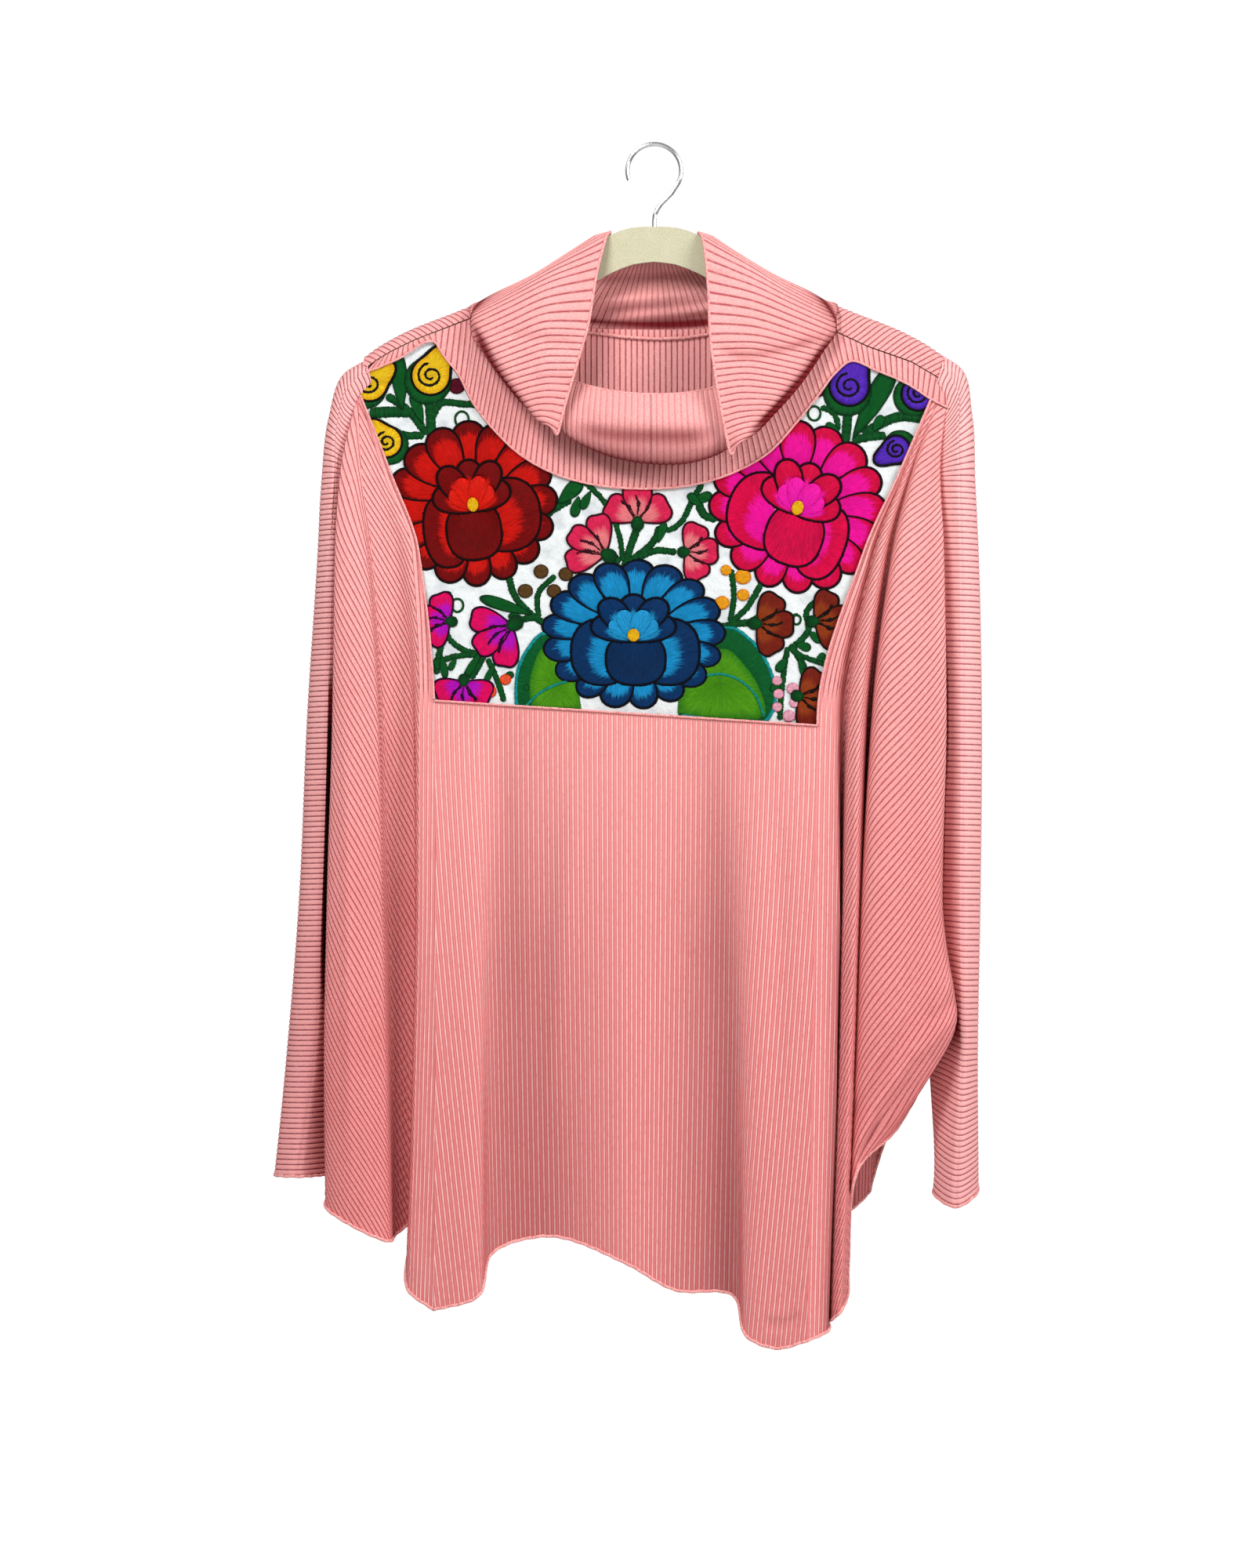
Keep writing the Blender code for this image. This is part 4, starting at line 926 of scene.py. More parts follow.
def wing(side, stuff):
    """A wing, from its outer edge to the yoke and the body's edge."""
    if side == "left":
        lines = FRONT[:line_index(FRONT, "yoke_side_left") + 1]
        valley = line_index(lines, "wing_fold_left")
        tops = [WING_TOP_LEFT] * len(lines)
    else:
        lines = FRONT[line_index(FRONT, "yoke_side_right"):]
        valley = line_index(lines, "wing_valley_right")
        tops = [np.interp(line.x[0], (214, 226), WING_TOP_RIGHT_SLOPE) for line in lines]
    rows = panel(lines, tops, 560)
    if side == "left":
        rows[..., :3], rows[..., 3] = creased(rows[..., :3], rows[..., 3], LEFT_WING_CREASES)
    EDGES["hem"].append(rows[-1])
    inner = rows[:, -1 if side == "left" else 0]
    turned_edge(inner[inner[:, 2] < hem_of_yoke(inner[:, 0])])
    if side == "right":
        rows = gathered(rows)
    cut = columns_of(lines[:valley])
    first, second = rows[:, :cut + 1], rows[:, cut:]
    parts = []
    if side == "left":
        face = resample(first, 66)
        slants = wing_ribs(face, (3.2, 2.2, 1.6, 1.3, 1.6, 2.8), WING_SPACING[side])
        parts.append(Piece(face, slants, shade_of(face), False))
        turn = columns_of(lines[valley:line_index(lines, "body_edge_left")])
        fold = resample(second[:, :turn + 1], 26)
        ribs = arc(fold) / BODY_PITCH - fold[..., 2] * FOLD_SLANT
        parts.append(Piece(fold, ribs, shade_of(fold), False))
        edge = resample(second[:, turn:], 14)
        parts.append(Piece(edge, arc(edge) / BODY_PITCH, shade_of(edge), False, below_yoke(edge)))
    else:
        strip = columns_of(lines[:line_index(lines, "strip_valley")])
        edge = resample(first[:, :strip + 1], 16)
        parts.append(Piece(edge, arc(edge) / BODY_PITCH + 0.25, shade_of(edge), False, below_yoke(edge)))
        fold = resample(first[:, strip:], 26)
        ribs = arc(fold) / BODY_PITCH + fold[..., 2] * FOLD_SLANT
        parts.append(Piece(fold, ribs, shade_of(fold), False))
        face = resample(second, 70)
        slants = wing_ribs(face, (2.6, 1.5, 1.1, 1.2, 1.6, 1.4), WING_SPACING[side], -1)
        parts.append(Piece(face, slants, shade_of(face), False))
    return mesh_piece("wing_" + side, parts, stuff)


# Soft creases of the body: the first four lie low, on its right lobe; three ridges take painted shade
# away and a trough is painted darker.
BODY_CREASES = (
    Crease(((100, 814), (114, 806), (128, 793)), 1.6, -1.1, -0.1),
    Crease(((76, 832), (95, 831), (114, 824)), 1.6, -1.1, -0.1),
    Crease(((80, 846), (92, 849), (104, 848)), 1.6, -0.9, -0.1),
    Crease(((84, 838), (98, 838), (112, 832)), 3.0, 0.8, 0.2),
    Crease(((-60, 420), (-72, 560), (-80, 700)), 9.0, -1.6, 0.0),
    Crease(((28, 430), (36, 600), (34, 780)), 10.0, -1.8, 0.0),
    Crease(((-118, 400), (-112, 520), (-108, 640)), 8.0, 1.6, 0.0),
    Crease(((92, 420), (96, 560), (92, 700)), 9.0, 1.4, 0.0),
)
# The left wing's trough is painted a little darker, as shade.
LEFT_WING_CREASES = (
    Crease(((-222, 260), (-217, 420), (-214, 600), (-212, 780)), 6.0, 1.4, 0.12),
    Crease(((-236, 380), (-234, 560), (-232, 740)), 5.0, -1.4, 0.0),
)

Gather = namedtuple("Gather", "x0 drop0 x1 drop1 width lift")

# Soft ridges where the right wing's cloth is drawn in towards the underarm seam.
GATHERS = (
    Gather(150, 668, 188, 604, 5.0, 3.0),
    Gather(158, 690, 200, 628, 5.5, 3.4),
    Gather(170, 704, 210, 652, 5.0, 2.6),
    Gather(214, 600, 231, 572, 6.5, 4.0),
    Gather(204, 634, 230, 604, 6.0, 3.2),
    Gather(150, 714, 166, 684, 3.5, 2.6),
)


def gathered(rows):
    """The wing with its gathers raised, each with a trough beside it painted darker as shade and its
    ridge painted less dark.
    """
    rows = rows.copy()
    x, drop = rows[..., 0], rows[..., 2]
    for fold in GATHERS:
        start = np.array([fold.x0, fold.drop0], float)
        way = np.array([fold.x1, fold.drop1]) - start
        long = np.hypot(*way)
        way = way / long
        ahead = (x - start[0]) * way[0] + (drop - start[1]) * way[1]
        aside = (x - start[0]) * -way[1] + (drop - start[1]) * way[0]
        share = np.clip(ahead / long, -0.25, 1.25)
        ends = np.clip(1 - ((share - 0.5) / 0.72) ** 2, 0, 1)
        swell = ends * np.exp(-((aside / fold.width) ** 2))
        beside = ends * np.exp(-(((aside - 1.6 * fold.width) / fold.width) ** 2))
        rows[..., 1] -= fold.lift * swell - 0.5 * fold.lift * beside
        rows[..., 3] = np.clip(rows[..., 3] + 0.35 * beside - 0.2 * swell, 0, 1)
    return rows


def back(stuff):
    """The back: it folds over the hanger's arms to the shoulder seams in front, and falls behind."""
    lower = panel(BACK, [BACK_FALL] * len(BACK), 110, back=True)
    tail, far_edge = (named(BACK, name).x[-1] for name in ("wing_start_right", "wing_edge_right"))
    beyond = np.clip((lower[-1, :, 0] - tail) / (far_edge - tail), 0, 1)
    bottom = lower[-1, :, 2]
    shorter = np.where(beyond > 0, np.minimum(bottom, 648 + 94 * (1 - beyond) ** 2.2), bottom)
    share = (shorter - BACK_FALL) / (bottom - BACK_FALL)
    lower[..., 2] = BACK_FALL + (lower[..., 2] - BACK_FALL) * share[None]
    x = np.clip(lower[0, :, 0], -BACK_HALF_TOP, BACK_HALF_TOP)
    over = np.clip((141 - np.abs(x)) / 12, 0, 1)
    at_neck = np.clip((129 - np.abs(x)) / 16, 0, 1)
    start = -90 + 180 * over
    neck_drop = 80 - 7 * np.clip(np.abs(x) / 128, 0, 1) ** 2
    rows = []
    for behind in np.linspace(0, 1, 22):
        depth, drop = over_arm(x, start * (1 - behind) + 90 * behind)
        drop = drop + 8 * behind * over - 2 * over * (1 - over)
        drop = drop * (1 - at_neck) + (neck_drop + 12 * behind) * at_neck
        rows.append(np.stack([x, depth, drop, 0 * x], axis=1))
    edge = 1.2 + (shoulder_seam(x) - rows[0][:, 2] - 1.2) * (1 - over) ** 8
    angle = np.radians(start)
    hem = rows[0] + np.stack([0 * x, -np.cos(angle) * edge, -np.sin(angle) * edge, 0 * x], axis=1)
    between = [rows[-1] + (lower[0] - rows[-1]) * t for t in (0.25, 0.5, 0.75)]
    grid = np.array([hem, *rows, *between, *lower])
    EDGES["hem"].append(lower[-1])
    far = arc(grid)
    middle = len(x) // 2
    rib = (far - far[:, middle:middle + 1]) / BACK_PITCH
    return mesh_piece("back_panel", [Piece(grid, rib, shade_of(grid), True)], stuff)


# Painted shadow: a near-black strip along each sleeve beside the wing's edge.
SHADOW_GAPS = {"left": (4.2, 330, 610), "right": (0.8, 300, 640)}  # width, and the drops it starts and ends at


def sleeve(side, stuff):
    """One sleeve, from the arch over the hanger's tip to its cuff."""
    sections = SLEEVE_LEFT if side == "left" else SLEEVE_RIGHT
    points = np.array([np.stack([s.x, s.depth, s.drops], axis=1) for s in sections], float)
    around = through(points, [SLEEVE_FINE] * 7)
    grid = through(np.moveaxis(around, 0, 1), (24, 26, 30, 50, 110, 130, 110, 90))
    grid = np.moveaxis(grid, 0, 1)
    outward = -1 if side == "left" else 1
    for lines, edge_first in ((FRONT, True), (BACK, False)):
        line = named(lines, "side_" + side)
        edge = grid[:, 0] if edge_first else grid[:, -1]
        drop = edge[:, 2]
        near = np.clip((drop - 120) / 14, 0, 1)
        reach = SIDE_GAP + (CUFF_GAP - SIDE_GAP) * np.clip((drop - LEVELS[5]) / 90, 0, 1)
        x = smooth_between(LEVELS, line.x, drop) + outward * reach
        depth = smooth_between(LEVELS, line.depth, drop) + (0.7 if edge_first else -0.7)
        shift = np.stack([x, depth, drop], axis=1) - edge
        for k in range(SEAM_COLUMN):
            share = (1 - k / SEAM_COLUMN) ** 2
            column = k if edge_first else -1 - k
            grid[:, column] += shift * (share * near)[:, None]
    first_columns = np.clip(1 - np.arange(grid.shape[1]) / 12, 0, 1)[None]
    tucked = np.clip((136 - grid[..., 2]) / 14, 0, 1) * first_columns
    grid[..., 0] -= outward * TUCK_UNDER * tucked
    start = np.clip(1 - np.arange(len(grid)) / 10, 0, 1)[:, None]
    grid[..., 0] -= outward * TUCK_UNDER * start
    grid[..., 2] -= TUCK_UNDER * 0.55 * start
    far = far_along(grid[:, SEAM_COLUMN])
    tilt = np.linspace(1, 0, grid.shape[1])[None, :] * 0.6
    rib = far[:, None] / SLEEVE_PITCH[side] + tilt
    column = np.arange(grid.shape[1])[None, :]
    at_seam = np.exp(-(((column - SEAM_COLUMN) / 0.6) ** 2)) * np.clip((grid[..., 2] - 110) / 30, 0, 1)
    grid[..., 1] += at_seam * SEAM_DEPTH
    grid[..., 0] -= outward * at_seam * SEAM_DEPTH
    whole = [line for line in FRONT if len(line.x) == len(LEVELS)]
    edges = [smooth_between(LEVELS, line.x, grid[..., 2]) * outward for line in whole]
    width, start, end = SHADOW_GAPS[side]
    clear = grid[..., 0] * outward - np.max(edges, axis=0)
    gap = np.clip((width + 2.5 - clear) / 2.5, 0, 1) * np.clip((grid[..., 2] - start) / 60, 0, 1)
    gap = gap * np.clip((end - grid[..., 2]) / 50, 0, 1) * (column < SEAM_COLUMN)
    # Painted shadow in the gap beside the wing, up to a shade of 2; the seam line is a little darker too.
    shade = np.clip(0.25 * at_seam, 0, 1) + 1.9 * gap
    EDGES["hem"].append(grid[-1])
    return mesh_piece("sleeve_" + side + "_cloth", [Piece(grid, rib, shade, side == "right")], stuff)


def collar(stuff):
    """The cowl: a tube that slouches over its seam in front and lies over the hanger's arms."""
    sections = np.array([row[1:] for row in COLLAR], float)
    around = through(np.moveaxis(sections, 0, 1), [COLLAR_FINE] * len(sections), closed=True)
    stations = np.linspace(0, 1, sections.shape[1])
    down = np.linspace(0, 1, COLLAR_ROWS)
    grid = smooth_between(stations, around.reshape(len(stations), -1), down)
    grid = grid.reshape(COLLAR_ROWS, around.shape[1], 3)
    middle = grid[22]
    *far, total = far_along(np.concatenate([middle, middle[:1]]))
    count = round(total / COLLAR_PITCH)
    sway = 0.12 * np.sin(9 * down)[:, None] * np.sin(np.linspace(0, 44, len(far)))[None]
    rib = (np.array(far) / total * count)[None] + sway
    places = [row.name for row in COLLAR]
    # Painted shade by the share of the way from seam to rim, and in the tucks.
    shade = np.interp(down, *zip(*COLLAR_SHADES))[:, None] + 0 * rib
    column = np.arange(len(far)) / COLLAR_FINE
    for name in ("tuck_left", "tuck_right"):
        shade = shade + TUCK_SHADE * np.exp(-(((column - places.index(name)) / 0.35) ** 2))[None]
    grid[..., 2] += np.clip(7.0 - grid[..., 2], 0, None) * 0.6
    past = np.clip(np.abs(grid[..., 0]) - 139, 0, None)
    grid[..., 0] -= np.sign(grid[..., 0]) * past * 0.6
    # Less painted shade where the collar's seam stands out past the shoulders at the back.
    shade = shade * (1 - 0.7 * np.clip((grid[..., 1] + 2) / 4, 0, 1) * np.clip(past, 0, 1))
    EDGES["rim"].append(np.concatenate([grid[-1], grid[-1][:1]]))
    grid, shade = creased(grid, shade, FLAP_CREASES, np.clip((-5 - grid[..., 1]) / 4, 0, 1))
    grid, shade = creased(grid, shade, NECK_CREASES, np.clip((grid[..., 1] - 5) / 4, 0, 1))
    # Painted shadow over the lower part of the pouch, under its roll.
    pouch_foot_shadow = np.clip((grid[..., 2] - 148) / 26, 0, 1) * (grid[..., 1] < 0)
    shade = shade + 0.45 * pouch_foot_shadow * np.clip((78 - np.abs(grid[..., 0] + 6)) / 10, 0, 1)
    # The painted shade in the grooves is softened in front and inside the back.
    around_front = np.minimum(column, len(sections) - column)
    in_front = np.exp(-((around_front / 3.2) ** 4))
    behind = np.exp(-(((column - places.index("back")) / 2.5) ** 4))
    soft = np.clip(0.65 * in_front + 0.5 * behind, 0, 1)
    return mesh_piece("cowl_collar", [Piece(grid, rib, shade, True, 0.0, soft[None])], stuff, closed=True)


# Soft creases of the collar: in front, then inside its back; troughs are painted darker as shade, and
# some ridges take painted shade away.
FLAP_CREASES = (
    Crease(((-141, 74), (-129, 97), (-112, 125), (-96, 143)), 2.4, 2.6, 0.75),
    Crease(((-134, 78), (-121, 98), (-106, 122)), 3.4, -2.0, 0.0),
    Crease(((139, 82), (117, 112), (92, 141), (70, 163)), 2.4, 2.6, 0.75),
    Crease(((130, 84), (108, 111), (86, 138)), 3.6, -2.0, 0.0),
    Crease(((42, 92), (66, 101), (98, 96), (132, 84)), 4.0, 1.8, 0.4),
    Crease(((44, 83), (70, 90), (100, 85)), 5.0, -1.6, 0.0),
    Crease(((-56, 92), (-82, 88), (-116, 82)), 5.0, 1.4, 0.25),
    Crease(((-60, 122), (-78, 118), (-98, 120)), 5.0, 1.2, 0.2),
    Crease(((44, 26), (52, 33), (60, 34)), 4.0, -2.2, 0.0),
    Crease(((-70, 152), (-38, 160), (0, 162), (34, 161), (52, 156)), 7.0, 2.2, 0.45),
    Crease(((-60, 140), (-30, 143), (4, 143), (40, 142)), 6.0, -1.8, 0.0),
)
NECK_CREASES = (
    Crease(((-60, 58), (-30, 54), (10, 51), (60, 44)), 4.5, -3.4, -0.1),
    Crease(((-60, 74), (-20, 69), (20, 66), (60, 60)), 4.0, -2.8, -0.1),
    Crease(((-60, 40), (0, 37), (60, 34)), 4.5, 2.0, 0.4),
    Crease(((-50, 64), (0, 60), (60, 53)), 3.2, 1.6, 0.4),
    Crease(((-60, 79), (0, 77), (60, 72)), 3.6, 1.2, 0.3),
)


def band_point(row, share):
    """A point across the neck band: share 0 is its outer edge and 1 its inner edge."""
    x = row.outer_x * (1 - share) + row.inner_x * share
    drop = row.outer_drop * (1 - share) + row.inner_drop * share
    return x, yoke_depth(row.outer_drop) * (1 - share) + row.inner_depth * share, drop


def neck_band(stuff):
    """The band of knit above the yoke, from one shoulder strip to the other."""
    across = 14
    shares = np.linspace(0, 1, across)
    rows = np.array([along([band_point(row, share) for row in BAND], 28) for share in shares])
    on_arm = np.abs(rows[-1][:, 0]) > 138
    seam = np.where(on_arm, shoulder_seam(rows[-1][:, 0]) + 1.0, rows[-1][:, 2])
    shift = seam - rows[-1][:, 2]
    rows[..., 2] += shift * shares[:, None] ** 2
    far = arc(rows)
    rib = np.broadcast_to(far[across // 2] / BAND_PITCH, rows.shape[:2])
    turned_edge(rows[0])
    # Painted shadow under the collar, deeper towards the band's inner edge and near the middle.
    shade = 0.55 * shares[:, None] ** 2 * np.exp(-((rows[..., 0] / 95) ** 4))
    return mesh_piece("front_neck_band", [Piece(rows, rib, shade, True)], stuff)


def hems(stuff):
    """Rolled hems and cuffs, and the edges turned in round the yoke."""
    for name, kind, radius, wave in (
        ("rolled_hems", "hem", ROLL_RADIUS, 0.35),
        ("turned_edges", "turned", TURNED_RADIUS, 0.12),
        ("collar_rim", "rim", COLLAR_RIM_RADIUS, 0.1),
    ):
        lines = [rolled(line, radius, wave, seed=k) for k, line in enumerate(EDGES[kind])]
        settle(tube(name, lines, radius, stuff), None)
    cord = rolled(along(NECK_SEAM, 12), NECK_CORD_RADIUS, 0.3, length=3.4)
    settle(tube("neck_seam_cord", [cord], NECK_CORD_RADIUS, stuff), None)


NECK_SEAM = (
    (-86, 8.3, 78), (-49, 6.2, 81), (-12, 5.6, 85), (18, 5.6, 85.2), (50, 6.2, 81), (86, 8.3, 78),
)


def yoke_edges():
    """The yoke's upper edge as x and drop."""
    return along([(row.outer_x, row.outer_drop) for row in BAND], 12)


def yoke(stuff):
    """The white ground of the yoke, from the neck band to the seam below."""
    edge = yoke_edges()[:-12]
    share = np.linspace(0, 1, len(edge))
    (left, low_left), (right, low_right) = YOKE_BOTTOM_LEFT, YOKE_BOTTOM_RIGHT
    left_line, right_line = named(FRONT, "yoke_side_left"), named(FRONT, "yoke_side_right")
    grid = []
    for t in np.linspace(0, 1, 60):
        low = low_left + (low_right - low_left) * share
        drop = edge[:, 1] * (1 - t) + low * t
        x = edge[:, 0] * (1 - t) + (left + (right - left) * share) * t
        start = smooth_between(LEVELS, left_line.x, drop[:1])[0]
        end = smooth_between(LEVELS, right_line.x, drop[-1:])[0]
        x = x + (start - x[0]) * (1 - share) ** 3 + (end - x[-1]) * share**3
        grid.append(np.stack([x, yoke_depth(drop) + GROUND, drop], axis=1))
    grid = np.array(grid)
    return mesh_piece("yoke_ground", [Piece(grid, np.zeros(grid.shape[:2]), 0.0, False)], stuff, lift=0.0)


def tinted(values):
    """An sRGB colour from 0 to 255 as linear light."""
    share = np.asarray(values, float) / 255
    return np.where(share <= 0.04045, share / 12.92, ((share + 0.055) / 1.055) ** 2.4)


STITCHES = {}  # triangles of thread for each piece of embroidery
COVERS = []  # the outline of each filled shape, in the order of sewing
GROUND = 1.6  # how far the yoke's cloth lies behind the knit round it
UNDERLAY = 0.1  # height of threads that pass under a later shape
GREEN = ((0, 46, 18), (6, 92, 34))  # dark and light, as all colours of the thread in sRGB
LEAF_STOPS = ((0, GREEN[1]), (0.7, GREEN[1]), (1, GREEN[0]))
OUTLINE = 2.1  # width of the dark line round a shape
Palette = namedtuple("Palette", "rim bright bowl crown line")
RED = Palette((120, 0, 2), (214, 18, 8), (122, 0, 2), (226, 26, 10), (22, 0, 2))
MAGENTA = Palette((218, 0, 66), (255, 12, 160), (232, 0, 76), (255, 24, 172), (30, 0, 14))
BLUE = Palette((0, 50, 100), (20, 146, 206), (0, 46, 92), (30, 152, 210), (2, 6, 18))


def yoke_limits(points):
    """Points of x and drop, kept inside the yoke's edges."""
    x, drop = points.T
    edge = yoke_edges()
    inset = 0.5
    drop = np.clip(drop, 90, hem_of_yoke(x) - inset)
    left_line, right_line = named(FRONT, "yoke_side_left"), named(FRONT, "yoke_side_right")
    low = smooth_between(LEVELS, left_line.x, drop) + inset
    high = smooth_between(LEVELS, right_line.x, drop) - inset
    x = np.clip(x, low, high)
    top = np.interp(x, edge[:, 0], edge[:, 1]) + inset
    return np.stack([x, np.maximum(drop, top)], axis=1)


def keep_stitches(piece, points, height, triangles, colours, across, lengthwise):
    """Adds threads to a piece of embroidery, cut off at the yoke's edges."""
    points = yoke_limits(points.reshape(-1, 2))
    depth = yoke_depth(points[:, 1]) + GROUND - height.reshape(-1)
    verts = np.stack([points[:, 0], depth, points[:, 1]], axis=1)
    a, b, c = points[triangles[:, 0]], points[triangles[:, 1]], points[triangles[:, 2]]
    area = np.abs((b[:, 0] - a[:, 0]) * (c[:, 1] - a[:, 1]) - (c[:, 0] - a[:, 0]) * (b[:, 1] - a[:, 1]))
    kept = (triangles[area > 0.002], colours.reshape(-1, 3), across.reshape(-1), lengthwise.reshape(-1))
    STITCHES.setdefault(piece, []).append((len(COVERS), verts, *kept))


def inside(points, outline):
    """Which points of x and drop lie inside an outline."""
    low, high = outline.min(axis=0), outline.max(axis=0)
    near = np.flatnonzero(((points > low) & (points < high)).all(axis=1))
    found = np.zeros(len(points), bool)
    if not len(near):
        return found
    x, y = points[near, :1], points[near, 1:]
    a, b = outline, np.roll(outline, -1, axis=0)
    rise = np.where(b[:, 1] == a[:, 1], 1e-9, b[:, 1] - a[:, 1])
    left_of = x < (b[:, 0] - a[:, 0]) * (y - a[:, 1]) / rise + a[:, 0]
    crossing = ((a[:, 1] > y) != (b[:, 1] > y)) & left_of
    found[near] = crossing.sum(axis=1) % 2 == 1
    return found


def uncovered(order, verts, triangles):
    """A shape's threads without those that later shapes hide, with the rest tucked under their edges."""
    points = verts[:, [0, 2]]
    hidden = np.zeros(len(points), bool)
    for outline in COVERS[order:]:
        hidden |= inside(points, outline)
    verts = verts.copy()
    verts[hidden, 1] = yoke_depth(points[hidden, 1]) + GROUND - UNDERLAY
    return verts, triangles[~hidden[triangles].all(axis=1)]


def shades_at(stops, t):
    """Colours at t from stops of place and sRGB colour."""
    places = [stop[0] for stop in stops]
    colours = np.array([tinted(stop[1]) for stop in stops])
    return np.stack([np.interp(t, places, colours[:, k]) for k in range(3)], axis=-1)


def even(outline, gap):
    """A closed outline again, evenly spaced."""
    line = np.concatenate([outline, outline[:1]])
    far = far_along(line)
    return placed(line, far, np.linspace(0, far[-1], max(8, int(far[-1] / gap)) + 1))[:-1]


def fill(piece, outline, origin, stops, base, dome=0.7, tooth=0.0, seed=1):
    """A domed patch of satin stitch, from its origin to its outline, in colours that interlock."""
    outline = even(np.asarray(outline, float), 0.9)
    count = len(outline)
    rough = np.random.default_rng(seed)
    jitter = rough.uniform(-0.045, 0.045, count) + 0.03 * (np.arange(count) % 2)
    origin = np.asarray(origin, float)
    if tooth:
        away = outline - origin
        away /= np.maximum(np.linalg.norm(away, axis=1), 1e-6)[:, None]
        teeth = tooth * (np.arange(count) % 2) + rough.uniform(-0.15, 0.15, count)
        outline = outline + away * teeth[:, None]
    t = np.array([0.02, 0.2, 0.36, 0.48, 0.58, 0.66, 0.72, 0.77, 0.82, 0.88, 0.94, 0.98, 1.0])
    COVERS.append(outline)
    points = origin + (outline[None] - origin) * t[:, None, None]
    height = base + dome * np.sqrt(np.clip(1.02 - t**5, 0, 1))
    height = np.broadcast_to(height[:, None], points.shape[:2])
    tone = shades_at(stops, np.clip(t[:, None] + jitter[None] * (t[:, None] > 0.1), 0, 1))
    grain = 1 + rough.uniform(-0.1, 0.1, count)
    tone = tone * grain[None, :, None]
    across = np.broadcast_to(far_along(np.concatenate([outline, outline[:1]]))[:-1], points.shape[:2])
    lengthwise = np.linalg.norm(points - origin, axis=2)
    triangles = halves(quads_of(len(t), count, closed=True))
    keep_stitches(piece, points, height, triangles, tone, across, lengthwise)


def strand(piece, line, width, colours, base, tall=0.6, closed=False, tooth=0.12, ends=1.0, seed=3):
    """A raised line of satin stitch, of one width or of a width for each point."""
    line = np.asarray(line, float)
    widths = np.broadcast_to(np.asarray(width, float), len(line))
    both = np.concatenate([line, widths[:, None]], axis=1)
    ring = np.concatenate([both, both[:1]]) if closed else both
    far = far_along(ring[:, :2])
    count = max(6, int(far[-1] / 0.8))
    at = np.linspace(0, far[-1], count + 1)
    ring = placed(ring, far, at)
    rough = np.random.default_rng(seed + count)
    ahead = np.gradient(ring[:, :2], axis=0)
    if closed:
        ahead[0] = ahead[-1] = ring[1, :2] - ring[-2, :2]
    ahead /= np.maximum(np.linalg.norm(ahead, axis=1), 1e-6)[:, None]
    side = np.stack([-ahead[:, 1], ahead[:, 0]], axis=1)
    half = ring[:, 2] / 2
    if not closed:
        taper = np.minimum(1, np.minimum(at, far[-1] - at) / 1.6 + 0.25)
        half = half * (taper * ends + 1 - ends)
    edge = half[:, None] + rough.uniform(-tooth, tooth, (len(ring), 2))
    edge = edge + tooth * (np.arange(len(ring)) % 2)[:, None]
    spread = np.array([-1, -0.6, 0, 0.6, 1])
    reach = spread[None] * np.where(spread[None] < 0, edge[:, :1], edge[:, 1:])
    points = ring[:, None, :2] + side[:, None] * reach[..., None]
    height = base + tall * np.array([0, 0.8, 1, 0.8, 0])[None] + 0 * reach
    dark, light = (tinted(c) for c in colours)
    share = rough.uniform(0, 1, len(ring))[:, None, None] * 0.6
    # The tone changes at random along a strand, and its raised middle is painted lighter as a highlight.
    share = share + 0.4 * (1 - np.abs(spread))[None, :, None]
    tone = dark * (1 - share) + light * share
    across = np.broadcast_to(at[:, None], reach.shape)
    triangles = halves(quads_of(len(ring), len(spread)))
    keep_stitches(piece, points, height, triangles, tone, across, reach)


def turned(points, degrees, centre, scale=(1, 1)):
    """Points scaled, turned clockwise as seen from the front, and moved to centre."""
    angle = math.radians(degrees)
    p = np.asarray(points, float) * np.asarray(scale, float)
    x = p[:, 0] * math.cos(angle) - p[:, 1] * math.sin(angle)
    y = p[:, 0] * math.sin(angle) + p[:, 1] * math.cos(angle)
    return np.stack([x, y], axis=1) + np.asarray(centre, float)


def petal(length, half_width, full=0.35, count=40, notch=0.0):
    """A petal's outline from its base at the origin towards +X, widest near its tip."""
    s = np.arange(count) / count * 2 * np.pi
    u = (1 - np.cos(s)) / 2
    v = np.sin(s) * (full + (1 - full) * u)
    dip = 1 - notch * np.exp(-((s - np.pi) / 0.35) ** 2)
    return np.stack([u * length * dip, v * half_width], axis=1)


def ellipse(half_x, half_y, power=2.0, count=48):
    """A rounded outline, squarer as its power grows."""
    s = np.arange(count) / count * 2 * np.pi
    c, d = np.cos(s), np.sin(s)
    both = [np.sign(way) * np.abs(way) ** (2 / power) for way in (c, d)]
    return np.stack([both[0] * half_x, both[1] * half_y], axis=1)


def towards_angle(degrees):
    """A step of 1 in that direction, clockwise from +X as seen from the front."""
    return np.array([math.cos(math.radians(degrees)), math.sin(math.radians(degrees))])


def shape(piece, outline, origin, stops, base, palette, dome=0.7, line=OUTLINE, seed=1):
    """A filled shape with its dark outline."""
    fill(piece, outline, origin, stops, base, dome, seed=seed)
    if line:
        dark = (palette.line, palette.line)
        strand(piece, outline, line, dark, base + dome * 0.15, 0.75, closed=True, seed=seed)


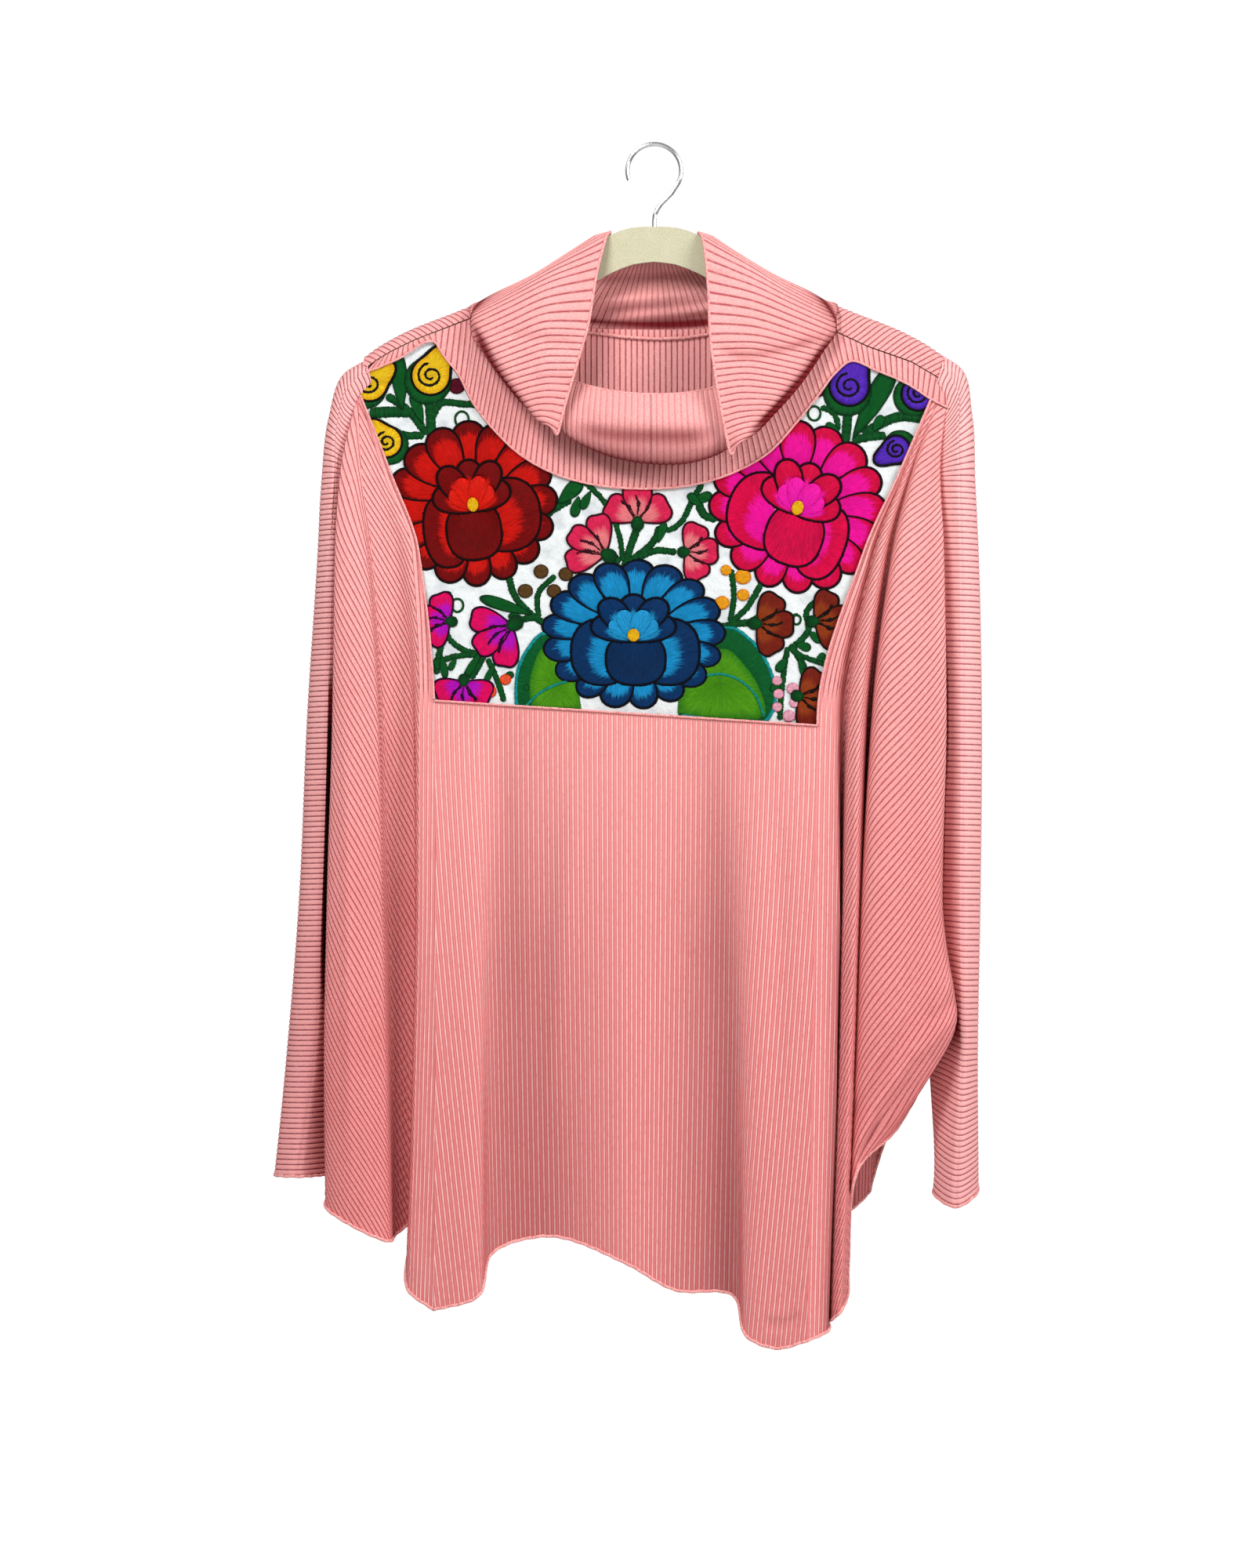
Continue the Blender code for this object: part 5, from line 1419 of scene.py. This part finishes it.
def big_flower(piece, centre, half, tilt, lean, palette, petals, seed):
    """A full flower: a ring of petals, a crown of three, a bowl of three parts and a yellow eye."""

    def place(points, turn=0.0, at=(0, 0)):
        local = turned(points, turn, at)
        return turned(local, tilt, centre, half)

    rim, bright = palette.rim, palette.bright
    stops = ((0, bright), (0.76, bright), (0.81, rim), (1, rim))
    for k in range(petals):
        turn = -90 + 360 / petals * (k + 0.15)
        lower = 0.5 + 0.5 * math.sin(math.radians(turn))
        wide = (0.245 - 0.035 * lower) * (17 / petals) * (1 + 0.06 * math.sin(2.3 * k))
        root = 0.34 * towards_angle(turn)
        outline = place(petal(0.66 - 0.03 * lower, wide, 0.45), turn, root)
        inner = place([(0.02, 0)], turn, root)[0]
        shape(piece, outline, inner, stops, 0.3, palette, seed=seed + k)
    for side in (-1, 1):
        grown = 1 + 0.22 * lean * side
        middle = (side * 0.36 + 0.02, 0.22 - 0.06 * lean * side)
        outline = place(ellipse(0.33 * grown, 0.44, 2.3), 0, middle)
        inner = place([(side * 0.05, 0.34)])[0]
        side_stops = ((0, bright), (0.66, bright), (0.71, rim), (1, palette.bowl))
        shape(piece, outline, inner, side_stops, 0.55, palette, seed=seed + 40 + side)
    outline = place(ellipse(0.32, 0.34, 2.5), 0, (0.025 - 0.05 * lean, 0.32))
    inner = place([(0.02 - 0.05 * lean, -0.3)])[0]
    soft = tuple(0.9 * v for v in palette.bowl)
    bowl_stops = ((0, palette.bowl), (0.5, palette.bowl), (0.85, soft), (1, palette.bowl))
    shape(piece, outline, inner, bowl_stops, 0.75, palette, seed=seed + 50)
    crown = ((-150, 0.5, 0.2), (-30, 0.5, 0.2), (-90, 0.6, 0.2), (-120, 0.62, 0.2), (-60, 0.62, 0.2))
    crown_stops = ((0, palette.crown), (0.6, palette.crown), (0.66, rim), (1, rim))
    for k, (turn, long, wide) in enumerate(crown):
        outline = place(petal(long, wide, 0.45), turn, (0, 0.06))
        inner = place([(0, 0.04)])[0]
        shape(piece, outline, inner, crown_stops, 0.95 + 0.1 * k, palette, seed=seed + 60 + k)
    pale = tuple(min(255, 1.08 * v) for v in palette.crown)
    for k, (turn, long) in enumerate(((-135, 0.34), (-45, 0.34), (-108, 0.4), (-72, 0.4))):
        outline = place(petal(long, 0.13, 0.5), turn, (0, 0.05))
        pale_stops = ((0, pale), (1, palette.crown))
        fill(piece, outline, place([(0, 0.04)])[0], pale_stops, 1.2, 0.5, seed=seed + 66 + k)
    outline = place(ellipse(0.065, 0.085), 0, (0, 0.0))
    gold = ((0, (255, 208, 30)), (1, (240, 170, 4)))
    fill(piece, outline, place([(0, 0.0)])[0], gold, 1.6, 0.9, seed=seed + 70)


def small_flower(piece, base, towards, size, spread, rim, bright, line, seed):
    """A flower seen from its side: lobes that fan out of a green cup, with dark spiked stamens."""
    palette = Palette(rim, bright, rim, bright, line)
    lobes = 3
    middle = (lobes - 1) / 2
    order = sorted(range(lobes), key=lambda k: -abs(k - middle))
    for k in order:
        turn = towards + (k - middle) * spread / (lobes - 1)
        long = size * (1.0 if abs(k - middle) < 0.6 else 0.97)
        outline = turned(petal(long, size * 0.43 * (spread / 100), 0.3, notch=0.06), turn, base)
        inner = np.asarray(base, float)
        stops = ((0, bright), (0.5, bright), (0.7, rim), (1, rim))
        height = 0.4 + 0.1 * (lobes - abs(k - middle))
        shape(piece, outline, inner, stops, height, palette, line=1.7, seed=seed + k)
    for k in range(lobes):
        turn = towards + (k - middle) * spread / lobes * 0.9
        mark = turned([(0.12, 0), (0.4, 0.03), (0.66, -0.05)], turn, base, (size, size))
        widths = (1.0,) * 5 + (2.6,) * 3 + (1.4,) * 5
        strand(piece, along(mark, 6), widths, (line, line), 1.3, 0.5, tooth=0.55, seed=seed + 20 + k)
    middle = turned([(size * 0.1, 0)], towards, base)[0]
    cup = turned(petal(size * 0.4, size * 0.2, 0.7), towards + 180, middle)
    fill(piece, cup, base, ((0, GREEN[1]), (1, GREEN[0])), 0.9, 0.6, tooth=0.3, seed=seed + 30)


def rosebud(piece, centre, size, towards, colour, deep, seed):
    """A pointed bud with a dark spiral, held in green sepals."""
    centre = np.asarray(centre, float)
    s = np.arange(60) / 60 * 2 * np.pi
    away = np.abs((s - math.radians(towards) + np.pi) % (2 * np.pi) - np.pi)
    reach = size * (0.40 + 0.32 * np.exp(-((away / 0.5) ** 2)))
    outline = np.stack([np.cos(s) * reach, np.sin(s) * reach], axis=1) + centre
    behind = centre - 0.13 * size * towards_angle(towards)
    around = (outline - centre) * 1.22 + behind
    sepals = ((0, GREEN[1]), (0.8, GREEN[1]), (1, GREEN[0]))
    fill(piece, around, behind, sepals, 0.35, 0.6, tooth=0.5, seed=seed)
    palette = Palette(colour, colour, colour, colour, (14, 8, 12))
    stops = ((0, colour), (0.7, colour), (1, deep))
    shape(piece, outline, centre, stops, 0.75, palette, line=2.0, seed=seed)
    turn = np.linspace(0, 3.3 * np.pi, 60)
    radius = size * (0.05 + 0.235 * turn / turn[-1])
    spiral = np.stack([np.cos(turn + 0.5) * radius, np.sin(turn + 0.5) * radius * 0.92], axis=1) + centre
    strand(piece, spiral, 2.0, (palette.line, palette.line), 1.25, 0.5, tooth=0.45, seed=seed)


def stem(line, width, seed):
    """A green stem through points."""
    width = width * 1.25 + 0.6
    strand("embroidery_greens", along(line, 10), width, GREEN, 0.3, 0.8, tooth=0.42, seed=seed)


def small_leaf(base, tip, width, seed):
    """A rounded green leaf."""
    base, tip = np.asarray(base, float), np.asarray(tip, float)
    along_it = tip - base
    long = float(np.hypot(*along_it))
    turn = math.degrees(math.atan2(along_it[1], along_it[0]))
    outline = turned(petal(long, width * 0.66, 0.35), turn, base)
    origin = base + along_it * 0.45
    fill("embroidery_greens", outline, origin, LEAF_STOPS, 0.4, 0.8, tooth=0.4, seed=seed)


def berry(centre, radius, light, deep, seed):
    """A round satin dot."""
    outline = turned(ellipse(radius, radius * 0.94), 0, centre)
    stops = ((0, light), (0.7, light), (1, deep))
    fill("embroidery_small", outline, centre, stops, 0.5, 1.1, tooth=0.15, seed=seed)


def loop(centre, radius, seed):
    """A small ring of green thread."""
    line = turned(ellipse(radius, radius * 1.15, count=30), 0, centre)
    strand("embroidery_greens", line, 1.7, GREEN, 0.3, 0.8, closed=True, seed=seed)


def big_leaf(outline, inner, origin, rib, seed):
    """A large leaf: teal edge, dark green band, lime middle and a teal midrib."""
    piece = "embroidery_greens"
    smooth = along(outline, 8)
    fill(piece, smooth, origin, ((0, GREEN[1]), (1, (0, 92, 40))), 0.35, 0.5, tooth=0.2, seed=seed)
    lime = ((0, (70, 148, 14)), (0.75, (84, 160, 20)), (1, (50, 130, 20)))
    fill(piece, along(inner, 8), origin, lime, 0.5, 0.5, tooth=1.1, seed=seed + 1)
    strand(piece, smooth[:-1], 2.2, ((0, 104, 108), (20, 168, 168)), 0.6, 0.5, tooth=0.3, seed=seed)
    strand(piece, along(rib, 8), 1.7, ((0, 112, 96), (20, 160, 140)), 1.2, 0.5, tooth=0.2, seed=seed)


def embroider():
    """Every motif on the yoke, in its place in millimetres."""
    for leaf in BIG_LEAVES:
        big_leaf(*leaf)
    for k, (line, width) in enumerate(STEMS):
        stem(line, width, seed=k)
    for k, (base, tip, width) in enumerate(SMALL_LEAVES):
        small_leaf(base, tip, width, seed=40 + k)
    for k, (x, drop, radius) in enumerate(LOOPS):
        loop((x, drop), radius, seed=80 + k)
    for k, (x, drop, radius, light, deep) in enumerate(BERRIES):
        berry((x, drop), radius, light, deep, seed=90 + k)
    for k, flower in enumerate(SMALL_FLOWERS):
        small_flower("embroidery_small", *flower, seed=120 + 37 * k)
    for k, bud in enumerate(ROSEBUDS):
        rosebud("embroidery_small", *bud, 500 + 11 * k)
    big_flower("embroidery_red_flower", (-139.5, 214.5), (66, 64.5), -7, 0.9, RED, 16, 600)
    big_flower("embroidery_magenta_flower", (110, 217), (69.5, 67), 20, -0.9, MAGENTA, 16, 700)
    big_flower("embroidery_blue_flower", (-16, 315), (71.5, 58), 0, 0.0, BLUE, 17, 800)


# Outline, inner field, where its stitches start, midrib and seed
BIG_LEAVES = (
    (
        ((-58, 352), (-62, 330), (-72, 318), (-86, 314), (-96, 324), (-104, 340), (-106, 355),
         (-104, 372), (-70, 374), (-58, 372)),
        ((-56, 372), (-62, 346), (-72, 330), (-86, 326), (-92, 338), (-95, 352), (-92, 371), (-70, 373),
         (-56, 372)),
        (-74, 352),
        ((-99, 370), (-90, 361), (-78, 354), (-66, 350)),
        300,
    ),
    (
        ((20, 352), (34, 324), (46, 311), (58, 309), (74, 319), (86, 336), (92, 354), (91, 372),
         (86, 380), (40, 379), (18, 376)),
        ((20, 352), (40, 330), (54, 326), (70, 340), (80, 356), (84, 376), (60, 379), (36, 378),
         (18, 374)),
        (50, 352),
        ((84, 378), (78, 362), (66, 350), (52, 345), (38, 346)),
        310,
    ),
)
# Points along each stem, and its width
STEMS = (
    (((-23, 263), (-17, 243), (-13, 232)), 4.0),
    (((-21, 260), (1, 240), (4, 231)), 3.6),
    (((-12, 255), (1, 250), (17, 251)), 3.4),
    (((-27, 260), (-32, 253), (-36, 251)), 3.4),
    (((-24, 258), (-27, 238), (-33, 221), (-48, 202), (-57, 195)), 2.6),
    (((9, 235), (16, 232), (31, 208), (37, 198)), 2.8),
    (((-112, 268), (-108, 283), (-93, 300), (-83, 307)), 3.4),
    (((-89, 302), (-89, 283), (-76, 269)), 2.8),
    (((-89, 301), (-97, 302), (-108, 305)), 3.6),
    (((-158, 281), (-157, 318), (-141, 328), (-132, 329)), 2.8),
    (((-171, 337), (-151, 331), (-130, 330)), 2.8),
    (((-131, 330), (-136, 340), (-141, 348)), 4.0),
    (((-128, 333), (-121, 348), (-115, 366)), 2.8),
    (((-163, 322), (-166, 334), (-167, 345)), 3.2),
    (((59, 264), (61, 285), (58, 305)), 2.8),
    (((85, 270), (69, 296), (58, 306)), 3.0),
    (((50, 309), (64, 306), (80, 305)), 3.6),
    (((123, 289), (117, 296), (118, 311), (104, 326)), 3.0),
    (((102, 324), (98, 352), (96, 380)), 2.8),
    (((104, 322), (112, 334), (118, 348)), 3.4),
    (((104, 326), (116, 332), (132, 338)), 2.4),
    (((-171, 166), (-172, 150), (-173, 132)), 5.2),
    (((-175, 160), (-190, 141), (-206, 130)), 4.2),
    (((-188, 143), (-204, 143), (-219, 144)), 6.0),
    (((-177, 161), (-196, 160), (-208, 154)), 4.0),
    (((-171, 148), (-165, 137), (-146, 137), (-135, 138), (-125, 150)), 3.6),
    (((147, 166), (148, 154), (149, 142)), 5.0),
    (((160, 160), (187, 147), (214, 149)), 5.4),
    (((152, 165), (166, 162), (178, 161)), 4.6),
    (((128, 139), (138, 144), (142, 157)), 2.8),
    (((-84, 222), (-72, 214), (-64, 210)), 5.0),
    (((48, 226), (38, 222), (34, 214)), 4.4),
)
# Base, tip and width
SMALL_LEAVES = (
    ((-93, 299), (-134, 286), 9.5),
    ((-194, 142), (-198, 97), 13.0),
    ((153, 163), (184, 108), 17.0),
    ((-74, 214), (-56, 196), 12.0),
    ((-58, 208), (-62, 224), 8.0),
    ((-49, 204), (-56, 218), 7.0),
    ((3, 244), (8, 228), 6.5),
    ((28, 214), (44, 206), 8.0),
    ((-152, 332), (-157, 342), 5.0),
    ((-132, 326), (-146, 349), 6.0),
    ((118, 308), (127, 304), 6.0),
    ((108, 322), (120, 325), 7.0),
    ((110, 332), (117, 350), 6.0),
    ((124, 334), (131, 330), 6.0),
    ((110, 298), (100, 304), 4.0),
    ((70, 306), (84, 300), 6.0),
    ((-98, 303), (-112, 300), 6.0),
    ((-122, 336), (-130, 352), 5.0),
    ((101, 332), (94, 343), 7.0),
    ((114, 340), (122, 352), 7.0),
    ((98, 350), (89, 358), 6.0),
    ((118, 312), (128, 320), 7.0),
    ((-118, 350), (-108, 344), 6.0),
    ((-163, 330), (-160, 348), 6.0),
    ((-20, 262), (-8, 268), 6.0),
    ((-178, 152), (-186, 128), 9.0),
    ((-192, 160), (-204, 172), 7.0),
    ((168, 158), (176, 146), 8.0),
    ((142, 158), (132, 152), 6.0),
    ((36, 216), (26, 206), 7.0),
)
# x, drop and radius
LOOPS = (
    (-151, 292, 4.4),
    (109, 303, 3.2),
    (-148, 148.5, 5.2),
    (123, 144, 4.8),
    (-98, 355, 2.0),
)
BROWN = ((96, 66, 30), (50, 30, 14))
ORANGE = ((252, 168, 26), (222, 118, 8))
CORAL = ((255, 92, 48), (222, 52, 22))
PALE = ((250, 176, 196), (224, 130, 156))
MAROON = ((92, 8, 34), (54, 2, 20))
BERRIES = (
    (-87, 266, 5.8, *BROWN), (-68, 268, 5.6, *BROWN), (-99, 281, 5.8, *BROWN), (-77, 281, 5.6, *BROWN),
    (55, 265, 4.3, *ORANGE), (68, 270, 6.2, *ORANGE), (68, 284, 4.8, *ORANGE), (52, 290, 5.5, *ORANGE),
    (-126, 358, 5.2, *CORAL), (-114, 349, 4.4, *CORAL),
    (94, 350, 3.8, *PALE), (95, 360, 4.0, *PALE), (94, 370, 3.8, *PALE),
    (106, 356, 4.8, *PALE), (107, 367, 3.8, *PALE), (103, 377, 4.8, *PALE),
    (-152, 123, 6.4, *MAROON), (126, 127, 5.0, *MAROON),
)
PINK_FLOWER = ((226, 36, 84), (255, 134, 140), (52, 8, 20))
PURPLE_FLOWER = ((232, 0, 96), (196, 14, 200), (36, 0, 34))
RUST_FLOWER = ((122, 30, 14), (156, 62, 22), (20, 8, 6))
# Base, direction in degrees, size, spread in degrees and colours
SMALL_FLOWERS = (
    ((-13, 226), -90, 29, 125, *PINK_FLOWER),
    ((-38, 252), -148, 33, 92, *PINK_FLOWER),
    ((25, 251), -2, 25, 128, *PINK_FLOWER),
    ((-110, 308), 146, 34, 92, *PURPLE_FLOWER),
    ((-158, 304), 190, 24, 120, *PURPLE_FLOWER),
    ((-146, 352), 92, 25, 130, *PURPLE_FLOWER),
    ((80, 306), 2, 28, 116, *RUST_FLOWER),
    ((124, 304), -8, 27, 110, *RUST_FLOWER),
    ((112, 362), 8, 26, 120, *RUST_FLOWER),
)
YELLOW = ((252, 204, 30), (232, 166, 10))
PURPLE = ((92, 46, 196), (58, 20, 140))
# Centre, size, direction in degrees and colours
ROSEBUDS = (
    ((-172, 115), 37, -62, *YELLOW),
    ((-219, 121), 34, -40, *YELLOW),
    ((-206, 166), 30, -130, *YELLOW),
    ((150, 123), 38, -70, *PURPLE),
    ((203, 129), 32, -30, *PURPLE),
    ((186, 172), 27, 150, *PURPLE),
)


def thread_shader():
    """Satin thread: each stitch is a fine raised line across the shape, with a soft gloss; its threads
    are painted lighter and darker as highlight and shade.
    """
    made, tree, shader = nodes_of("satin_thread")
    joined = tree.nodes.new("ShaderNodeCombineXYZ")
    for name, scale, socket in (("across", 2.4, "X"), ("lengthwise", 0.16, "Y")):
        tree.links.new(times(tree, attribute(tree, name), scale), joined.inputs[socket])
    stitch = noise(tree, 1.0, 2.0, joined.outputs["Vector"], 0.6)
    tint = attribute(tree, "tint", "Color")
    # Painted highlight and shade: the tint runs from half to full brightness along the threads.
    light = blended(tree, ranged(tree, stitch, 0.3, 0.72), (0.5, 0.5, 0.5), (1.0, 1.0, 1.0))
    tone = blended(tree, 1.0, tint, light, "MULTIPLY")
    dressed(tree, shader, tone, bump(tree, stitch, 0.0008, 0.75), 0.55, 0.08)
    return made


def embroidery(stuff):
    """Builds the pieces of embroidery from their threads."""
    embroider()
    for name, parts in STITCHES.items():
        verts, faces, tones, across, lengthwise = ([] for _ in range(5))
        start = 0
        for order, points, triangles, colours, over, down in parts:
            points, triangles = uncovered(order, points, triangles)
            if not len(triangles):
                continue
            used = np.unique(triangles)
            renumber = np.full(len(points), -1)
            renumber[used] = np.arange(len(used)) + start
            verts.append(world(points[used]))
            faces.append(renumber[triangles])
            tones.append(colours[used])
            across.append(over[used])
            lengthwise.append(down[used])
            start += len(used)
        made = build(name, np.concatenate(verts), np.concatenate(faces), stuff)
        put(made, "across", np.concatenate(across))
        put(made, "lengthwise", np.concatenate(lengthwise))
        kept = made.data.attributes.new("tint", "FLOAT_COLOR", "POINT")
        tone = np.clip(np.concatenate(tones), 0, 1)
        opaque = np.concatenate([tone, np.ones((len(tone), 1))], axis=1)
        kept.data.foreach_set("color", opaque.astype(np.float32).ravel())
        settle(made, None)


FLOOR_HALF = 2.1  # in metres, as all that follows
FLOOR_DROP = 1.35
CAMERA_PLACE = (-0.021, -5.03, -0.491)
CAMERA_LENS = 150  # millimetres, on a sensor of 36
SEEN_LIGHT = 1.05  # how bright the ground behind looks
CAST_LIGHT = 0.3  # how strongly it lights the cloth
# Name, place, energy, size and what it is aimed at
LAMPS = (
    ("key", (-0.9, -1.9, 1.3), 52.0, 1.0, (0, 0, -0.2)),
    ("fill", (2.1, -1.5, 0.5), 47.0, 1.2, (0, 0, -0.3)),
)


def ground():
    """A pale floor."""
    mesh = bpy.data.meshes.new("floor")
    corners = [(x * FLOOR_HALF, y * FLOOR_HALF, 0) for x, y in ((-1, -1), (1, -1), (1, 1), (-1, 1))]
    mesh.from_pydata(corners, [], [(0, 1, 2, 3)])
    floor = bpy.data.objects.new("floor", mesh)
    floor.location = (0, 0, -FLOOR_DROP)
    bpy.context.scene.collection.objects.link(floor)
    made, tree, shader = nodes_of("floor_paint")
    tree.links.new(blended(tree, noise(tree, 3.0, 2.0), *FLOOR), shader.inputs["Base Color"])
    shader.inputs["Roughness"].default_value = 0.9
    mesh.materials.append(made)


def studio():
    """The light all round, soft lamps and the camera."""
    world_made = bpy.data.worlds.new("studio")
    bpy.context.scene.world = world_made
    world_made.use_nodes = True
    shade = world_made.node_tree.nodes["Background"]
    shade.inputs["Color"].default_value = (1.0, 1.0, 1.0, 1)
    sight = world_made.node_tree.nodes.new("ShaderNodeLightPath")
    seen = ranged(world_made.node_tree, sight.outputs["Is Camera Ray"], 0.0, 1.0, CAST_LIGHT, SEEN_LIGHT)
    world_made.node_tree.links.new(seen, shade.inputs["Strength"])
    for name, place, energy, size, aim in LAMPS:
        light = bpy.data.lights.new(name, "AREA")
        light.energy = energy
        light.size = size
        lamp = bpy.data.objects.new(name, light)
        lamp.location = place
        away = np.array(aim) - np.array(place)
        lamp.rotation_euler = (
            math.atan2(math.hypot(away[0], away[1]), -away[2]),
            0,
            math.atan2(away[1], away[0]) - math.pi / 2,
        )
        bpy.context.scene.collection.objects.link(lamp)
    view = bpy.data.cameras.new("camera")
    view.lens = CAMERA_LENS
    view.sensor_width = 36
    view.clip_end = 100
    camera = bpy.data.objects.new("camera", view)
    camera.location = CAMERA_PLACE
    camera.rotation_euler = (math.pi / 2, 0, 0)
    bpy.context.scene.collection.objects.link(camera)
    bpy.context.scene.camera = camera
    bpy.context.scene.view_settings.view_transform = "Standard"


Sheet = namedtuple("Sheet", "make node slot width length area")


def main():
    """Builds the whole scene."""
    knit = knit_material()
    # The sleeves get lit and shaded copies of the knit: their own painted light and painted groove shade.
    sleeve_knit = {
        side: knit_material("sleeve_knit_" + side, SLEEVE_GROOVE_SHADE[side], SLEEVE_PAINTED_LIGHT[side])
        for side in SLEEVE_GROOVE_SHADE
    }
    # The cut of what shows of each piece of cloth, in metres and square metres
    sheets = (
        Sheet(lambda: front_body(knit), "front", "knit", 0.33, 0.49, 0.125),
        Sheet(lambda: wing("left", knit), None, "knit", 0.16, 0.65, 0.078),
        Sheet(lambda: wing("right", knit), None, "knit", 0.26, 0.72, 0.115),
        Sheet(lambda: back(knit), "back", "knit", 0.62, 0.77, 0.345),
        Sheet(lambda: sleeve("left", sleeve_knit["left"]), "sleeve_left", "knit", 0.16, 0.63, 0.066),
        Sheet(lambda: sleeve("right", sleeve_knit["right"]), "sleeve_right", "knit", 0.17, 0.65, 0.077),
        Sheet(lambda: collar(knit), "collar", "knit", 0.56, 0.11, 0.051),
        Sheet(lambda: neck_band(knit), "neck_band", "knit", 0.56, 0.034, 0.013),
        Sheet(lambda: yoke(cotton_material()), "yoke", "yoke", 0.44, 0.29, 0.075),
    )
    for row in sheets:
        made = settle(row.make(), row.node)
    hems(edge_material())
    embroidery(thread_shader())
    for name, stuff in (("hanger", velvet_material()), ("hook", metal_material())):
        for slot in frame["nodes"][name].material_slots:
            slot.material = stuff
    ground()
    studio()


main()
